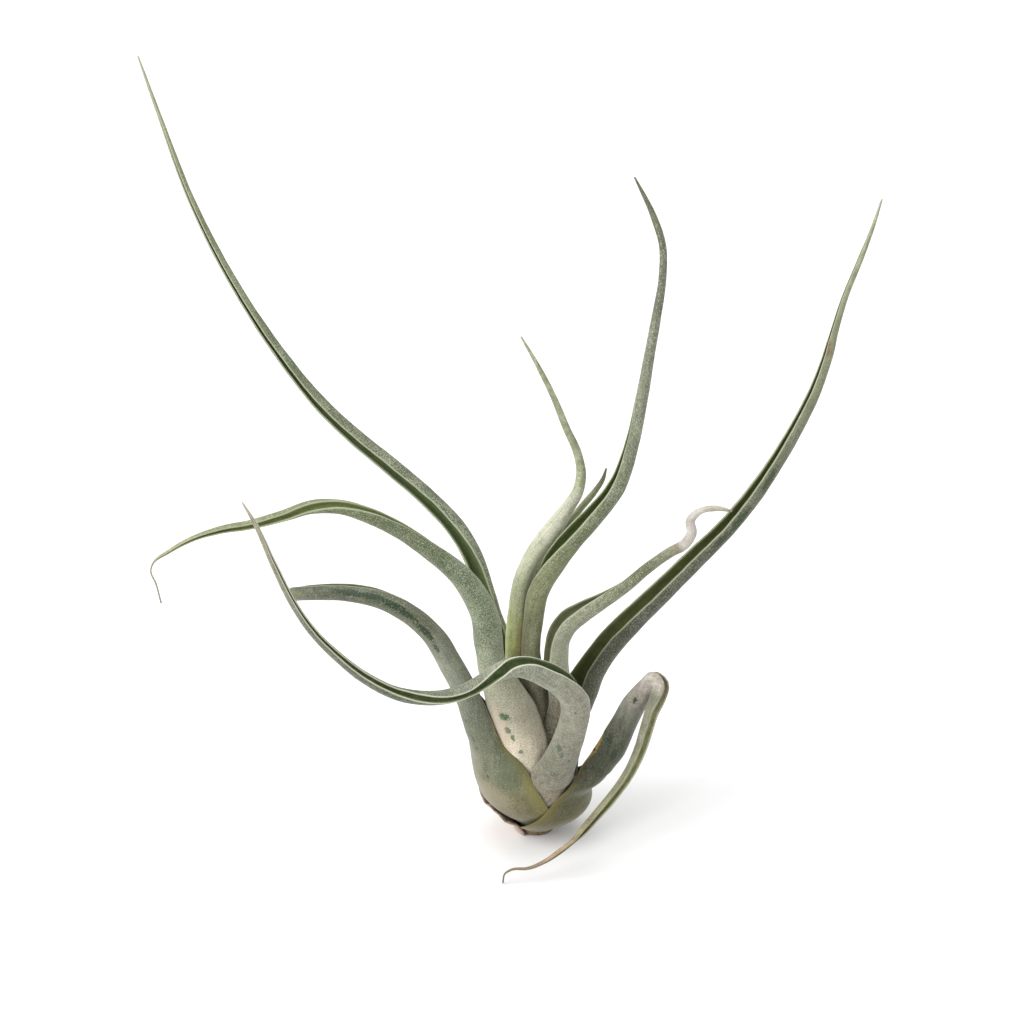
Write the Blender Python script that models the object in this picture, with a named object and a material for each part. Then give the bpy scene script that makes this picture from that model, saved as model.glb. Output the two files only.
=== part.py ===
"""Tillandsia caput-medusae, an air plant of ten channelled leaves, cut and laid to rest.

Metres, +Z up. The origin is the middle of the cut stem's flat underside, which the plant
stands on together with the rim of a dead outer sheath and the tip of the folded leaf.
Every leaf is one closed solid. It starts as a wide open sheath wrapped round the stem,
narrows into a blade rolled to a channel, and ends in a fine tip. The leaves are built from
the innermost outwards, and each wraps clear of the ones inside it.
"""

import math
from collections import namedtuple

import bmesh
import bpy
import numpy as np
from mathutils import Vector
from mathutils.bvhtree import BVHTree

MM = 0.001

# Walls, in mm. A blade is fleshy, a sheath is thin, and both thin out to their margins.
BLADE_WALL = 1.15
SHEATH_WALL = 0.85
SHEATH_RADIUS = 9.0
BLADE_RADIUS = 4.5
LEAST_WALL = 0.6
MARGIN_THINNING = 0.35
TIP_WALL_SHARE = 0.75
ROLLED_WALL_SHARE = 0.42

# Edges that turn more than this are left crisp.
CRISP_ANGLE = math.radians(50)

# Clear space kept between a leaf and the leaves inside it, in mm, the least radius of a
# sheath, which is fitted over their finished faces, and how deep it may start in them.
NEST_GAP = 0.5
FITTED_RADIUS = 5.5
FITTING_REACH = 4.5

# A leaf's cross-section lies level where the leaf is a wide sheath,
# and square to the leaf's run where it is a narrow blade. Widths in mm.
LEVEL_WIDTH = 20.0
SQUARE_WIDTH = 9.5

# How finely a leaf is divided: points across each face, and the widest spacing of its
# rings along a blade and along a sheath, in mm.
POINTS_ACROSS = 9
BLADE_RING_SPACING = 11.0
SHEATH_RING_SPACING = 4.5

# The stem that all the sheaths spring from: height and radius of each turn, in mm.
STEM_PROFILE = (
    (0.0, 6.2), (0.8, 6.8), (3.0, 6.8), (6.0, 6.4), (10.0, 5.4), (14.0, 3.9), (18.0, 2.4),
)
STEM_SIDES = 20

# The dead outer sheath, a torn cuff on the left and back of the stem, in mm: its least
# radii, its height, how its rim drops at the front end, how it flares, and its tears.
CUFF_BASE_RADIUS = 7.8
CUFF_RIM_RADIUS = 16.8
CUFF_RIM_HEIGHT = 16.4
CUFF_RIM_SLOPE = 1.0
CUFF_END_DROP = 3.0
CUFF_END_SHARE = 0.1
CUFF_FLARE = 1.25
CUFF_TEARS = 11
CUFF_TEAR_DEPTH = 0.8
CUFF_WALL = 0.7
CUFF_OPENING = math.radians(106)
CUFF_FACING = math.radians(-18)
CUFF_POINTS = 23
CUFF_RINGS = 7

LEFT = (-1, 0, 0)
RIGHT = (1, 0, 0)
BACK = (0, 1, 0)
FRONT = (0, -1, 0)
UP = (0, 0, 1)

# One station on a leaf, in mm and degrees: the middle of the leaf, its full width there,
# how far the channel gapes to each side of its middle, and which way the channel faces.
Station = namedtuple("Station", "x y z width gape facing")

LEAF_INNER_TIP = (
    Station(-0.9, 0.9, 20.0, 3.4, 40, RIGHT),
    Station(-1.9, 1.3, 38.0, 3.4, 38, RIGHT),
    Station(-4.4, 1.8, 56.0, 3.2, 35, RIGHT),
    Station(-5.8, 1.6, 74.0, 3.2, 30, RIGHT),
    Station(-4.8, 0.6, 90.0, 3.1, 30, RIGHT),
    Station(-1.0, 0.2, 104.0, 3.0, 30, (0.8, 0, -0.5)),
    Station(7.5, -0.2, 118.5, 2.7, 28, (0.8, 0, -0.5)),
    Station(14.5, -1.0, 129.5, 2.4, 28, (0.8, 0, -0.5)),
    Station(18.8, -1.0, 135.5, 2.0, 25, (0.8, 0, -0.5)),
    Station(21.2, -0.5, 139.5, 1.5, 25, (1, 0, -0.2)),
    Station(22.3, 0.0, 143.3, 0.6, 20, RIGHT),
)

LEAF_CENTRE_SHORT = (
    Station(0.0, 0.0, 15.4, 11.6, 85, (0.6, 0.8, 0)),
    Station(-0.1, 0.0, 18.4, 14.4, 85, (0.6, 0.8, 0)),
    Station(-0.5, 0.0, 23.0, 15.8, 84, (0.6, 0.8, 0)),
    Station(-1.6, 0.0, 32.0, 14.4, 78, (0.6, 0.8, 0)),
    Station(-3.5, 0.0, 45.0, 11.0, 65, (0.7, 0.7, 0)),
    Station(-6.5, -0.5, 60.0, 7.6, 48, (0.8, 0.6, 0)),
    Station(-7.7, -1.2, 73.5, 6.5, 40, (0.7, 0.7, 0)),
    Station(-6.8, -3.0, 90.0, 6.3, 38, (0.7, 0.7, 0)),
    Station(-4.5, -3.8, 104.5, 6.3, 35, (0.8, 0.6, -0.2)),
    Station(-0.3, -4.2, 114.5, 6.3, 35, (0.7, 0.6, -0.4)),
    Station(5.0, -5.2, 123.5, 6.1, 32, (0.6, 0.6, -0.5)),
    Station(10.0, -6.2, 132.5, 4.5, 30, (0.6, 0.7, -0.4)),
    Station(13.0, -7.0, 139.0, 3.8, 28, (0.4, 0.9, 0)),
    Station(13.9, -6.0, 145.0, 3.2, 25, (0.2, 1, 0.2)),
    Station(12.8, -4.5, 151.0, 2.8, 25, BACK),
    Station(9.0, -2.0, 159.5, 2.5, 22, BACK),
    Station(4.5, 3.0, 169.0, 2.0, 20, BACK),
    Station(-1.0, 8.0, 178.5, 1.4, 18, BACK),
    Station(-5.7, 13.0, 185.0, 0.6, 18, BACK),
)

LEAF_CENTRE_TALL = (
    Station(0.0, 0.0, 13.8, 13.2, 85, (-0.8, 0.6, 0)),
    Station(0.0, 0.0, 16.8, 16.8, 85, (-0.8, 0.6, 0)),
    Station(0.1, -0.1, 21.4, 18.8, 84, (-0.8, 0.6, 0)),
    Station(0.2, -0.6, 31.0, 17.6, 78, (-0.8, 0.5, 0)),
    Station(0.2, -1.5, 45.0, 13.6, 65, (-0.9, 0.4, 0)),
    Station(-1.1, -3.4, 61.0, 8.8, 52, (-0.8, 0.6, 0)),
    Station(-2.3, -5.0, 76.0, 6.6, 42, (-0.7, 0.7, 0)),
    Station(-1.5, -6.6, 88.5, 6.7, 40, (-0.75, 0.65, 0)),
    Station(0.2, -8.5, 101.5, 7.3, 38, (-0.85, 0.4, 0.1)),
    Station(5.0, -10.2, 113.0, 7.9, 38, (-0.9, 0.0, 0.3)),
    Station(11.2, -10.9, 123.0, 7.6, 38, (-0.8, -0.4, 0.6)),
    Station(18.2, -11.1, 132.0, 6.9, 35, (-0.8, -0.4, 0.6)),
    Station(25.0, -10.2, 141.5, 6.0, 30, (-0.9, -0.4, 0.4)),
    Station(30.3, -8.0, 157.5, 4.7, 25, (-1, -0.2, 0.2)),
    Station(33.0, -5.0, 171.5, 4.2, 22, LEFT),
    Station(35.2, -1.0, 184.0, 3.6, 20, (-1, 0.3, 0)),
    Station(37.5, 4.0, 196.0, 3.1, 20, (-0.9, 0.5, 0)),
    Station(39.5, 10.0, 207.5, 2.6, 18, (-0.8, 0.6, 0)),
    Station(39.5, 15.5, 216.5, 2.4, 18, (-0.7, 0.7, 0)),
    Station(36.5, 21.0, 224.5, 2.1, 18, (-0.5, 0.8, -0.3)),
    Station(30.6, 27.0, 235.0, 0.6, 18, (-0.5, 0.8, -0.3)),
)

LEAF_LONG_LEFT = (
    Station(0.0, 0.0, 12.2, 14.6, 90, (0.5, -0.86, 0)),
    Station(0.0, 0.1, 15.4, 19.0, 90, (0.5, -0.86, 0)),
    Station(-0.2, 0.4, 19.8, 21.6, 90, (0.5, -0.86, 0)),
    Station(-1.4, 1.8, 28.0, 20.8, 88, (0.5, -0.86, 0)),
    Station(-3.6, 4.2, 39.5, 17.0, 85, (0.45, -0.9, 0)),
    Station(-7.0, 7.0, 52.0, 13.0, 70, (0.3, -0.95, 0)),
    Station(-11.5, 10.0, 65.0, 9.8, 50, (0.25, -1, 0)),
    Station(-15.5, 13.0, 77.0, 7.8, 46, (0.15, -1, 0)),
    Station(-18.5, 17.0, 87.0, 7.2, 46, (0.0, -1, 0.1)),
    Station(-22.0, 23.0, 96.0, 6.9, 43, (-0.2, -0.95, 0.1)),
    Station(-28.0, 30.0, 103.5, 6.7, 38, (-0.35, -0.8, 0.1)),
    Station(-37.0, 36.0, 111.0, 6.4, 36, (-0.35, -0.8, 0.1)),
    Station(-50.0, 42.0, 120.5, 6.1, 34, (-0.35, -0.8, 0.05)),
    Station(-62.0, 47.0, 129.0, 5.7, 32, (-0.35, -0.8, 0.05)),
    Station(-72.5, 51.0, 138.0, 5.1, 30, (-0.35, -0.8, 0.05)),
    Station(-88.0, 58.0, 156.0, 4.1, 26, (-0.35, -0.8, 0.1)),
    Station(-103.0, 67.0, 177.5, 3.3, 22, (-0.35, -0.8, 0.1)),
    Station(-117.0, 77.0, 203.5, 2.5, 20, (-0.35, -0.8, 0.1)),
    Station(-128.0, 89.0, 230.5, 1.5, 18, (-0.35, -0.8, 0.1)),
    Station(-134.8, 96.0, 249.0, 0.6, 18, (-0.35, -0.8, 0.1)),
)

LEAF_CURL_TIP = (
    Station(0.0, 0.0, 10.6, 15.2, 90, (-0.8, 0.6, 0)),
    Station(0.2, 0.0, 13.8, 19.8, 90, (-0.8, 0.6, 0)),
    Station(0.6, -0.1, 18.0, 23.2, 90, (-0.8, 0.6, 0)),
    Station(2.1, -0.8, 25.0, 21.8, 90, (-0.8, 0.6, 0)),
    Station(3.9, -1.6, 34.0, 17.9, 103, (-0.80, 0.60, 0)),
    Station(5.9, -2.2, 45.5, 14.0, 94, (-0.81, 0.59, 0)),
    Station(7.4, -3.8, 57.0, 11.0, 78, (-0.85, 0.45, 0)),
    Station(5.6, -6.4, 67.5, 10.4, 60, (-0.95, -0.15, 0.1)),
    Station(5.9, -7.6, 76.5, 9.3, 54, (-0.95, -0.25, 0.2)),
    Station(7.0, -8.9, 84.0, 8.4, 48, (-0.85, -0.3, 0.4)),
    Station(10.0, -10.4, 90.4, 8.2, 44, (-0.7, -0.25, 0.7)),
    Station(14.6, -12.0, 95.3, 7.2, 38, (-0.55, -0.2, 0.85)),
    Station(20.5, -14.0, 100.5, 5.7, 30, (-0.5, 0.0, 0.85)),
    Station(28.5, -16.5, 108.0, 4.2, 24, (-0.5, 0.4, 0.8)),
    Station(36.0, -19.0, 117.0, 3.7, 20, (-0.5, 0.5, 0.7)),
    Station(43.0, -21.0, 124.0, 3.5, 18, (-0.5, 0.6, 0.6)),
    Station(47.3, -22.0, 127.5, 3.5, 18, (-0.6, 0.7, 0.4)),
    Station(49.4, -22.3, 131.8, 3.4, 18, (-0.8, 0.6, 0)),
    Station(48.9, -22.6, 136.8, 3.1, 18, (-0.8, 0.6, 0)),
    Station(51.8, -23.0, 140.4, 2.3, 18, (-0.6, 0.7, 0.5)),
    Station(56.5, -24.0, 142.0, 1.9, 18, (0, 0.8, 0.6)),
    Station(61.8, -26.0, 142.2, 0.7, 18, (0, 0.8, 0.6)),
)

LEAF_LEFT_ARCHING = (
    Station(0.0, 0.0, 9.2, 15.6, 90, (0.6, 0.8, 0)),
    Station(-0.2, -0.2, 12.4, 20.6, 90, (0.6, 0.8, 0)),
    Station(-0.7, -0.7, 16.8, 25.0, 90, (0.6, 0.8, 0)),
    Station(-1.6, -2.3, 24.6, 25.6, 94, (0.6, 0.8, 0)),
    Station(-4.0, -4.6, 35.0, 22.4, 92, (0.69, 0.72, 0)),
    Station(-6.2, -6.8, 46.3, 19.8, 77, (0.6, 0.8, 0)),
    Station(-8.9, -8.8, 57.6, 17.0, 68, (0.6, 0.8, 0)),
    Station(-12.2, -10.6, 65.7, 12.8, 58, (0.6, 0.8, 0)),
    Station(-14.9, -12.0, 72.6, 9.9, 48, (0.5, 0.8, 0.1)),
    Station(-16.0, -13.3, 80.5, 9.5, 42, (0.5, 0.8, 0.2)),
    Station(-16.6, -14.5, 86.8, 9.8, 38, (0.4, 0.8, 0.3)),
    Station(-17.2, -16.0, 94.0, 9.3, 34, (0.4, 0.7, 0.5)),
    Station(-21.0, -18.0, 106.0, 8.4, 32, (0.4, 0.6, 0.6)),
    Station(-27.5, -21.0, 117.5, 7.2, 30, (0.4, 0.5, 0.8)),
    Station(-36.0, -24.0, 127.0, 6.1, 28, (0.3, 0.3, 0.9)),
    Station(-45.0, -26.5, 135.5, 5.5, 28, (0.2, 0.1, 1)),
    Station(-54.5, -28.5, 142.0, 5.1, 30, (0.1, -0.2, 1)),
    Station(-63.5, -30.0, 146.0, 4.8, 32, (0, -0.6, 0.8)),
    Station(-72.5, -31.0, 146.5, 4.6, 36, (0, -0.9, 0.4)),
    Station(-81.0, -32.0, 144.0, 3.8, 38, (0, -1, 0.1)),
    Station(-91.5, -33.0, 141.3, 3.2, 38, (0, -1, -0.1)),
    Station(-101.5, -34.0, 139.8, 2.6, 36, (0, -1, -0.1)),
    Station(-110.0, -35.0, 137.3, 1.9, 32, (0, -1, -0.1)),
    Station(-118.0, -36.0, 133.0, 1.4, 26, (0, -1, -0.1)),
    Station(-123.2, -37.0, 129.2, 0.8, 22, (0, -1, -0.1)),
    Station(-124.0, -37.3, 126.8, 0.6, 20, (-0.4, -1, 0)),
    Station(-122.6, -37.6, 122.0, 0.6, 20, (-0.4, -1, 0)),
    Station(-121.3, -38.0, 115.0, 0.6, 20, (-0.4, -1, 0)),
)

LEAF_LONG_RIGHT = (
    Station(0.0, 0.0, 7.8, 15.8, 92, (-0.8, -0.6, 0)),
    Station(0.2, 0.2, 11.0, 21.4, 92, (-0.8, -0.6, 0)),
    Station(0.6, 0.4, 15.4, 26.0, 92, (-0.8, -0.6, 0)),
    Station(1.5, 1.5, 22.0, 25.2, 92, (-0.8, -0.6, 0)),
    Station(4.7, 3.4, 32.0, 20.6, 90, (-0.8, -0.6, 0)),
    Station(9.3, 5.2, 43.0, 16.2, 78, (-0.85, -0.5, 0.1)),
    Station(14.6, 6.6, 52.0, 12.8, 60, (-0.85, -0.45, 0.2)),
    Station(18.5, 8.2, 59.5, 10.3, 48, (-0.8, -0.4, 0.4)),
    Station(24.7, 11.0, 68.2, 9.4, 42, (-0.7, -0.4, 0.6)),
    Station(33.0, 15.0, 76.0, 8.6, 40, (-0.6, -0.45, 0.7)),
    Station(43.0, 20.0, 84.2, 8.0, 38, (-0.55, -0.5, 0.7)),
    Station(54.0, 25.5, 93.5, 7.3, 36, (-0.55, -0.5, 0.7)),
    Station(65.0, 31.0, 102.8, 6.7, 34, (-0.55, -0.5, 0.7)),
    Station(74.5, 37.0, 112.5, 6.1, 30, (-0.6, -0.5, 0.6)),
    Station(82.7, 43.0, 123.0, 5.4, 28, (-0.7, -0.5, 0.5)),
    Station(90.0, 49.0, 134.0, 4.8, 26, (-0.8, -0.5, 0.4)),
    Station(95.4, 54.0, 144.0, 4.3, 26, (-0.8, -0.5, 0.3)),
    Station(99.4, 59.0, 154.0, 3.7, 24, (-0.9, -0.5, 0.2)),
    Station(102.0, 63.0, 163.0, 2.8, 22, (-0.9, -0.4, 0.2)),
    Station(105.2, 67.0, 173.0, 2.3, 20, (-0.9, -0.4, 0.2)),
    Station(110.0, 72.0, 184.0, 2.0, 20, (-0.9, -0.4, 0.2)),
    Station(114.3, 76.5, 194.5, 1.4, 18, (-0.9, -0.4, 0.2)),
    Station(117.3, 80.0, 203.5, 0.6, 18, (-0.9, -0.4, 0.2)),
)

LEAF_FRONT_LOOP = (
    Station(0.0, 0.0, 6.4, 15.8, 92, BACK),
    Station(0.1, -0.4, 9.6, 22.0, 92, BACK),
    Station(0.4, -1.2, 14.0, 28.6, 92, BACK),
    Station(1.2, -4.2, 20.6, 29.4, 104, (-0.12, 0.99, 0)),
    Station(3.0, -9.8, 28.0, 20.0, 108, (-0.31, 0.95, 0)),
    Station(6.0, -16.2, 35.2, 13.4, 92, BACK),
    Station(9.1, -20.4, 45.8, 11.0, 68, (-0.1, 1, 0.1)),
    Station(11.5, -23.6, 57.0, 9.9, 45, (0.2, 1, 0.2)),
    Station(12.6, -26.0, 66.5, 9.9, 40, (0.68, 0.70, 0.21)),
    Station(11.0, -28.5, 74.2, 9.8, 38, (0.80, 0.38, 0.47)),
    Station(7.0, -31.0, 80.2, 9.0, 38, (0.66, 0.16, 0.74)),
    Station(2.0, -34.0, 85.3, 8.4, 38, (0.50, 0.06, 0.87)),
    Station(-3.1, -36.0, 88.8, 7.6, 38, (-0.1, -0.1, 1)),
    Station(-8.3, -38.0, 90.4, 6.7, 38, (0, -0.4, 0.9)),
    Station(-12.6, -39.0, 89.4, 6.1, 38, (0, -0.8, 0.3)),
    Station(-17.5, -40.0, 86.6, 5.5, 38, (0.1, -0.9, -0.1)),
    Station(-22.6, -41.0, 83.8, 5.1, 36, (0.1, -0.95, -0.3)),
    Station(-28.8, -42.3, 82.1, 4.9, 34, (0, -1, -0.1)),
    Station(-35.5, -44.0, 82.4, 4.9, 32, (0.1, -0.9, 0.3)),
    Station(-45.0, -47.0, 85.9, 4.5, 30, (0.3, -0.7, 0.7)),
    Station(-55.2, -50.0, 93.7, 3.9, 28, (0.5, -0.6, 0.6)),
    Station(-64.4, -53.0, 104.4, 3.3, 26, (0.6, -0.6, 0.5)),
    Station(-72.3, -56.0, 116.5, 2.8, 24, (0.7, -0.6, 0.4)),
    Station(-77.6, -58.0, 128.0, 2.5, 22, (0.7, -0.6, 0.3)),
    Station(-82.0, -60.0, 141.0, 2.2, 20, (0.7, -0.7, 0.3)),
    Station(-88.3, -63.0, 161.0, 1.2, 18, (0.7, -0.7, 0.3)),
    Station(-90.9, -64.0, 167.0, 0.6, 18, (0.7, -0.7, 0.3)),
)

LEAF_THICK_LEFT = (
    Station(0.0, 0.0, 4.9, 15.8, 89, (0.97, 0.24, 0)),
    Station(-0.2, -0.1, 8.0, 21.6, 88, (0.96, 0.28, 0)),
    Station(-0.6, -0.5, 11.6, 28.4, 87, (0.96, 0.29, 0)),
    Station(-1.6, -1.6, 18.1, 36.2, 87, (0.96, 0.29, 0)),
    Station(-3.5, -2.9, 23.7, 35.8, 87, (0.96, 0.27, 0)),
    Station(-6.9, -4.6, 29.6, 30.8, 84, (0.96, 0.28, 0)),
    Station(-11.8, -6.2, 36.7, 22.4, 75, (0.94, 0.33, 0)),
    Station(-16.2, -8.4, 44.7, 15.5, 78, (0.95, 0.32, 0)),
    Station(-20.0, -9.6, 52.9, 11.8, 50, (0.98, 0.12, 0.1)),
    Station(-23.6, -9.6, 61.7, 9.4, 48, (0.85, 0.4, 0.3)),
    Station(-28.9, -8.4, 72.0, 8.3, 35, (0.5, 0.6, 0.5)),
    Station(-35.0, -6.0, 82.5, 7.6, 30, (0.4, 0.6, 0.7)),
    Station(-43.0, -4.0, 89.8, 7.2, 28, (0.2, 0.6, 0.8)),
    Station(-53.0, -1.0, 93.8, 6.7, 28, (0, 0.5, 0.9)),
    Station(-63.5, 3.0, 93.8, 6.2, 30, (0, 0.3, 1)),
    Station(-74.0, 8.0, 91.0, 5.7, 32, (0, 0.3, 1)),
    Station(-81.6, 15.0, 86.2, 5.2, 32, (0, 0.4, 0.9)),
    Station(-84.2, 25.0, 79.4, 4.5, 30, (0, 0.5, 0.8)),
    Station(-85.2, 40.0, 69.8, 3.6, 26, (0, 0.5, 0.8)),
    Station(-86.6, 60.0, 57.6, 2.0, 22, (0, 0.5, 0.8)),
    Station(-88.2, 75.0, 48.0, 0.6, 20, (0, 0.5, 0.8)),
)

LEAF_RIGHT_FOLDED = (
    Station(0.1, -0.1, 2.9, 15.6, 78, (-0.91, 0.42, 0)),
    Station(0.4, -0.4, 6.0, 22.8, 80, (-0.93, 0.37, 0)),
    Station(1.2, -1.0, 9.8, 30.4, 85, (-0.95, 0.31, 0)),
    Station(2.8, -3.2, 15.4, 32.8, 96, (-0.96, 0.28, 0)),
    Station(4.3, -4.5, 19.2, 29.6, 105, (-0.94, 0.34, 0)),
    Station(7.0, -5.6, 22.5, 24.8, 108, (-0.91, 0.41, 0)),
    Station(13.7, -8.8, 29.3, 21.0, 100, (-0.91, 0.41, 0.1)),
    Station(20.0, -10.6, 36.0, 14.4, 74, (-0.85, 0.35, 0.4)),
    Station(24.2, -11.2, 41.2, 12.4, 58, (-0.85, 0.38, 0.45)),
    Station(29.1, -11.2, 50.4, 9.4, 34, (-0.79, 0.43, 0.44)),
    Station(33.5, -11.2, 59.6, 7.9, 15, (-0.70, 0.60, 0.40)),
    Station(37.2, -12.2, 65.8, 6.9, 13, (-0.45, 0.65, 0.6)),
    Station(39.2, -13.8, 69.6, 6.0, 15, (0.1, 0.45, 0.9)),
    Station(41.1, -15.8, 69.0, 5.9, 34, (0.7, -0.1, 0.7)),
    Station(40.3, -17.2, 65.0, 5.8, 42, (0.75, -0.62, 0.3)),
    Station(38.5, -18.2, 60.2, 5.0, 44, (0.58, -0.78, 0.28)),
    Station(37.0, -19.0, 54.6, 4.6, 44, (0.55, -0.8, 0.25)),
    Station(34.6, -20.8, 46.1, 4.3, 44, (0.5, -0.83, 0.2)),
    Station(30.6, -22.9, 37.3, 3.9, 42, (0.42, -0.86, 0.12)),
    Station(25.0, -25.4, 29.5, 3.7, 40, (0.36, -0.9, 0.05)),
    Station(18.9, -27.8, 22.5, 3.3, 36, (0.36, -0.9, 0)),
    Station(15.2, -29.0, 18.2, 3.0, 32, (0.38, -0.9, 0)),
    Station(13.2, -29.6, 15.9, 2.1, 28, (0.5, -0.8, -0.1)),
    Station(7.7, -31.0, 11.3, 1.9, 26, (0.4, -0.9, 0)),
    Station(2.6, -32.2, 8.0, 1.5, 22, (0.3, -0.9, 0)),
    Station(-3.2, -33.2, 5.8, 1.1, 20, (0.1, -1, 0.1)),
    Station(-8.6, -33.7, 5.7, 0.8, 20, (0, -1, 0.1)),
    Station(-11.0, -34.0, 4.2, 0.6, 20, (-0.5, -1, 0)),
    Station(-11.7, -34.2, 0.4, 0.6, 20, (-0.5, -1, 0)),
)

# From the innermost leaf to the outermost, with each one's colour and roughness.
Leaf = namedtuple("Leaf", "name stations colour roughness")
LEAVES = (
    Leaf("leaf_inner_tip", LEAF_INNER_TIP, (0.23, 0.27, 0.14), 0.6),
    Leaf("leaf_centre_short", LEAF_CENTRE_SHORT, (0.36, 0.39, 0.27), 0.65),
    Leaf("leaf_centre_tall", LEAF_CENTRE_TALL, (0.27, 0.32, 0.20), 0.65),
    Leaf("leaf_long_left", LEAF_LONG_LEFT, (0.17, 0.24, 0.14), 0.6),
    Leaf("leaf_curl_tip", LEAF_CURL_TIP, (0.36, 0.37, 0.27), 0.65),
    Leaf("leaf_left_arching", LEAF_LEFT_ARCHING, (0.26, 0.31, 0.21), 0.65),
    Leaf("leaf_long_right", LEAF_LONG_RIGHT, (0.15, 0.20, 0.12), 0.6),
    Leaf("leaf_front_loop", LEAF_FRONT_LOOP, (0.32, 0.35, 0.26), 0.65),
    Leaf("leaf_thick_left", LEAF_THICK_LEFT, (0.19, 0.24, 0.15), 0.65),
    Leaf("leaf_right_folded", LEAF_RIGHT_FOLDED, (0.21, 0.25, 0.16), 0.65),
)


def clear_scene():
    """Remove every object of the open file."""
    for thing in list(bpy.data.objects):
        bpy.data.objects.remove(thing, do_unlink=True)


def material(name, colour, roughness):
    """Make a plain material of one colour."""
    finish = bpy.data.materials.new(name)
    finish.use_nodes = True
    shader = finish.node_tree.nodes["Principled BSDF"]
    shader.inputs["Base Color"].default_value = (*colour, 1)
    shader.inputs["Roughness"].default_value = roughness
    shader.inputs["Metallic"].default_value = 0.0
    return finish


def add_solid(name, points, faces, finish):
    """Make one closed, smooth-shaded object from points in mm."""
    mesh = bpy.data.meshes.new(name)
    mesh.from_pydata([[c * MM for c in p] for p in points], [], faces)
    form = bmesh.new()
    form.from_mesh(mesh)
    bmesh.ops.recalc_face_normals(form, faces=form.faces)
    form.to_mesh(mesh)
    form.free()
    mesh.shade_smooth()
    mesh.set_sharp_from_angle(angle=CRISP_ANGLE)
    mesh.materials.append(finish)
    thing = bpy.data.objects.new(name, mesh)
    bpy.context.scene.collection.objects.link(thing)
    return thing


def unit(v):
    """Scale vectors to length one."""
    return v / np.linalg.norm(v, axis=-1, keepdims=True)


def ease(x):
    """Run smoothly from 0 to 1 as x does, and stay there outside."""
    x = np.clip(x, 0.0, 1.0)
    return x * x * (3 - 2 * x)


def smooth_rows(rows):
    """Read rows of numbers, which start with place and radius, off a curve through them."""
    rows = np.array(rows, float)
    reach = np.linalg.norm(np.diff(rows[:, :3], axis=0), axis=1)
    at = np.concatenate([[0], np.cumsum(reach)])
    slope = np.gradient(rows, at, axis=0)
    out = []
    for k in range(len(rows) - 1):
        span = at[k + 1] - at[k]
        sheath = min(rows[k][3], rows[k + 1][3]) > FITTED_RADIUS
        steps = math.ceil(span / (SHEATH_RING_SPACING if sheath else BLADE_RING_SPACING))
        for t in np.arange(steps) / steps:
            a = (1 + 2 * t) * (1 - t) ** 2 * rows[k] + t * (1 - t) ** 2 * span * slope[k]
            b = t * t * (3 - 2 * t) * rows[k + 1] + t * t * (t - 1) * span * slope[k + 1]
            out.append(a + b)
    out.append(rows[-1])
    return np.array(out)


def wall_thickness(radius):
    """Give the wall for a leaf of this radius: fleshy blade, thin sheath, fine tip."""
    sheath = ease((radius - BLADE_RADIUS) / (SHEATH_RADIUS - BLADE_RADIUS))
    wall = BLADE_WALL + (SHEATH_WALL - BLADE_WALL) * sheath
    fine = np.maximum(ROLLED_WALL_SHARE * radius,
                      np.minimum(LEAST_WALL, TIP_WALL_SHARE * radius))
    return np.minimum(wall, fine)


def push_clear(points, inner_leaves, gap):
    """Move points straight out of the round space that each inner leaf fills."""
    for path, radius in inner_leaves * 2:
        start = path[:-1]
        along = path[1:] - start
        length = (along ** 2).sum(axis=1)
        reach = ((points[:, None] - start) * along).sum(axis=2) / length
        below = reach[:, :1] < 0
        reach = np.clip(reach, 0, 1)
        nearest = start + reach[:, :, None] * along
        room = radius[:-1] + reach * (radius[1:] - radius[:-1]) + gap
        away = points[:, None] - nearest
        distance = np.linalg.norm(away, axis=2)
        lack = np.where(below, 0, room - distance)
        worst = lack.argmax(axis=1)
        row = np.arange(len(points))
        shift = np.maximum(lack[row, worst], 0) / distance[row, worst]
        points = points + away[row, worst] * shift[:, None]
    return points


def fit_over(points, spokes, tree, gap):
    """Move points out along their spokes until they stand clear of the finished leaves."""
    fitted = []
    for point, spoke in zip(points, spokes):
        outside = Vector(point + spoke * FITTING_REACH)
        distance = tree.ray_cast(outside, Vector(-spoke), FITTING_REACH + gap)[3]
        shift = 0 if distance is None else FITTING_REACH + gap - distance
        fitted.append(point + spoke * shift)
    return np.array(fitted)


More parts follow.
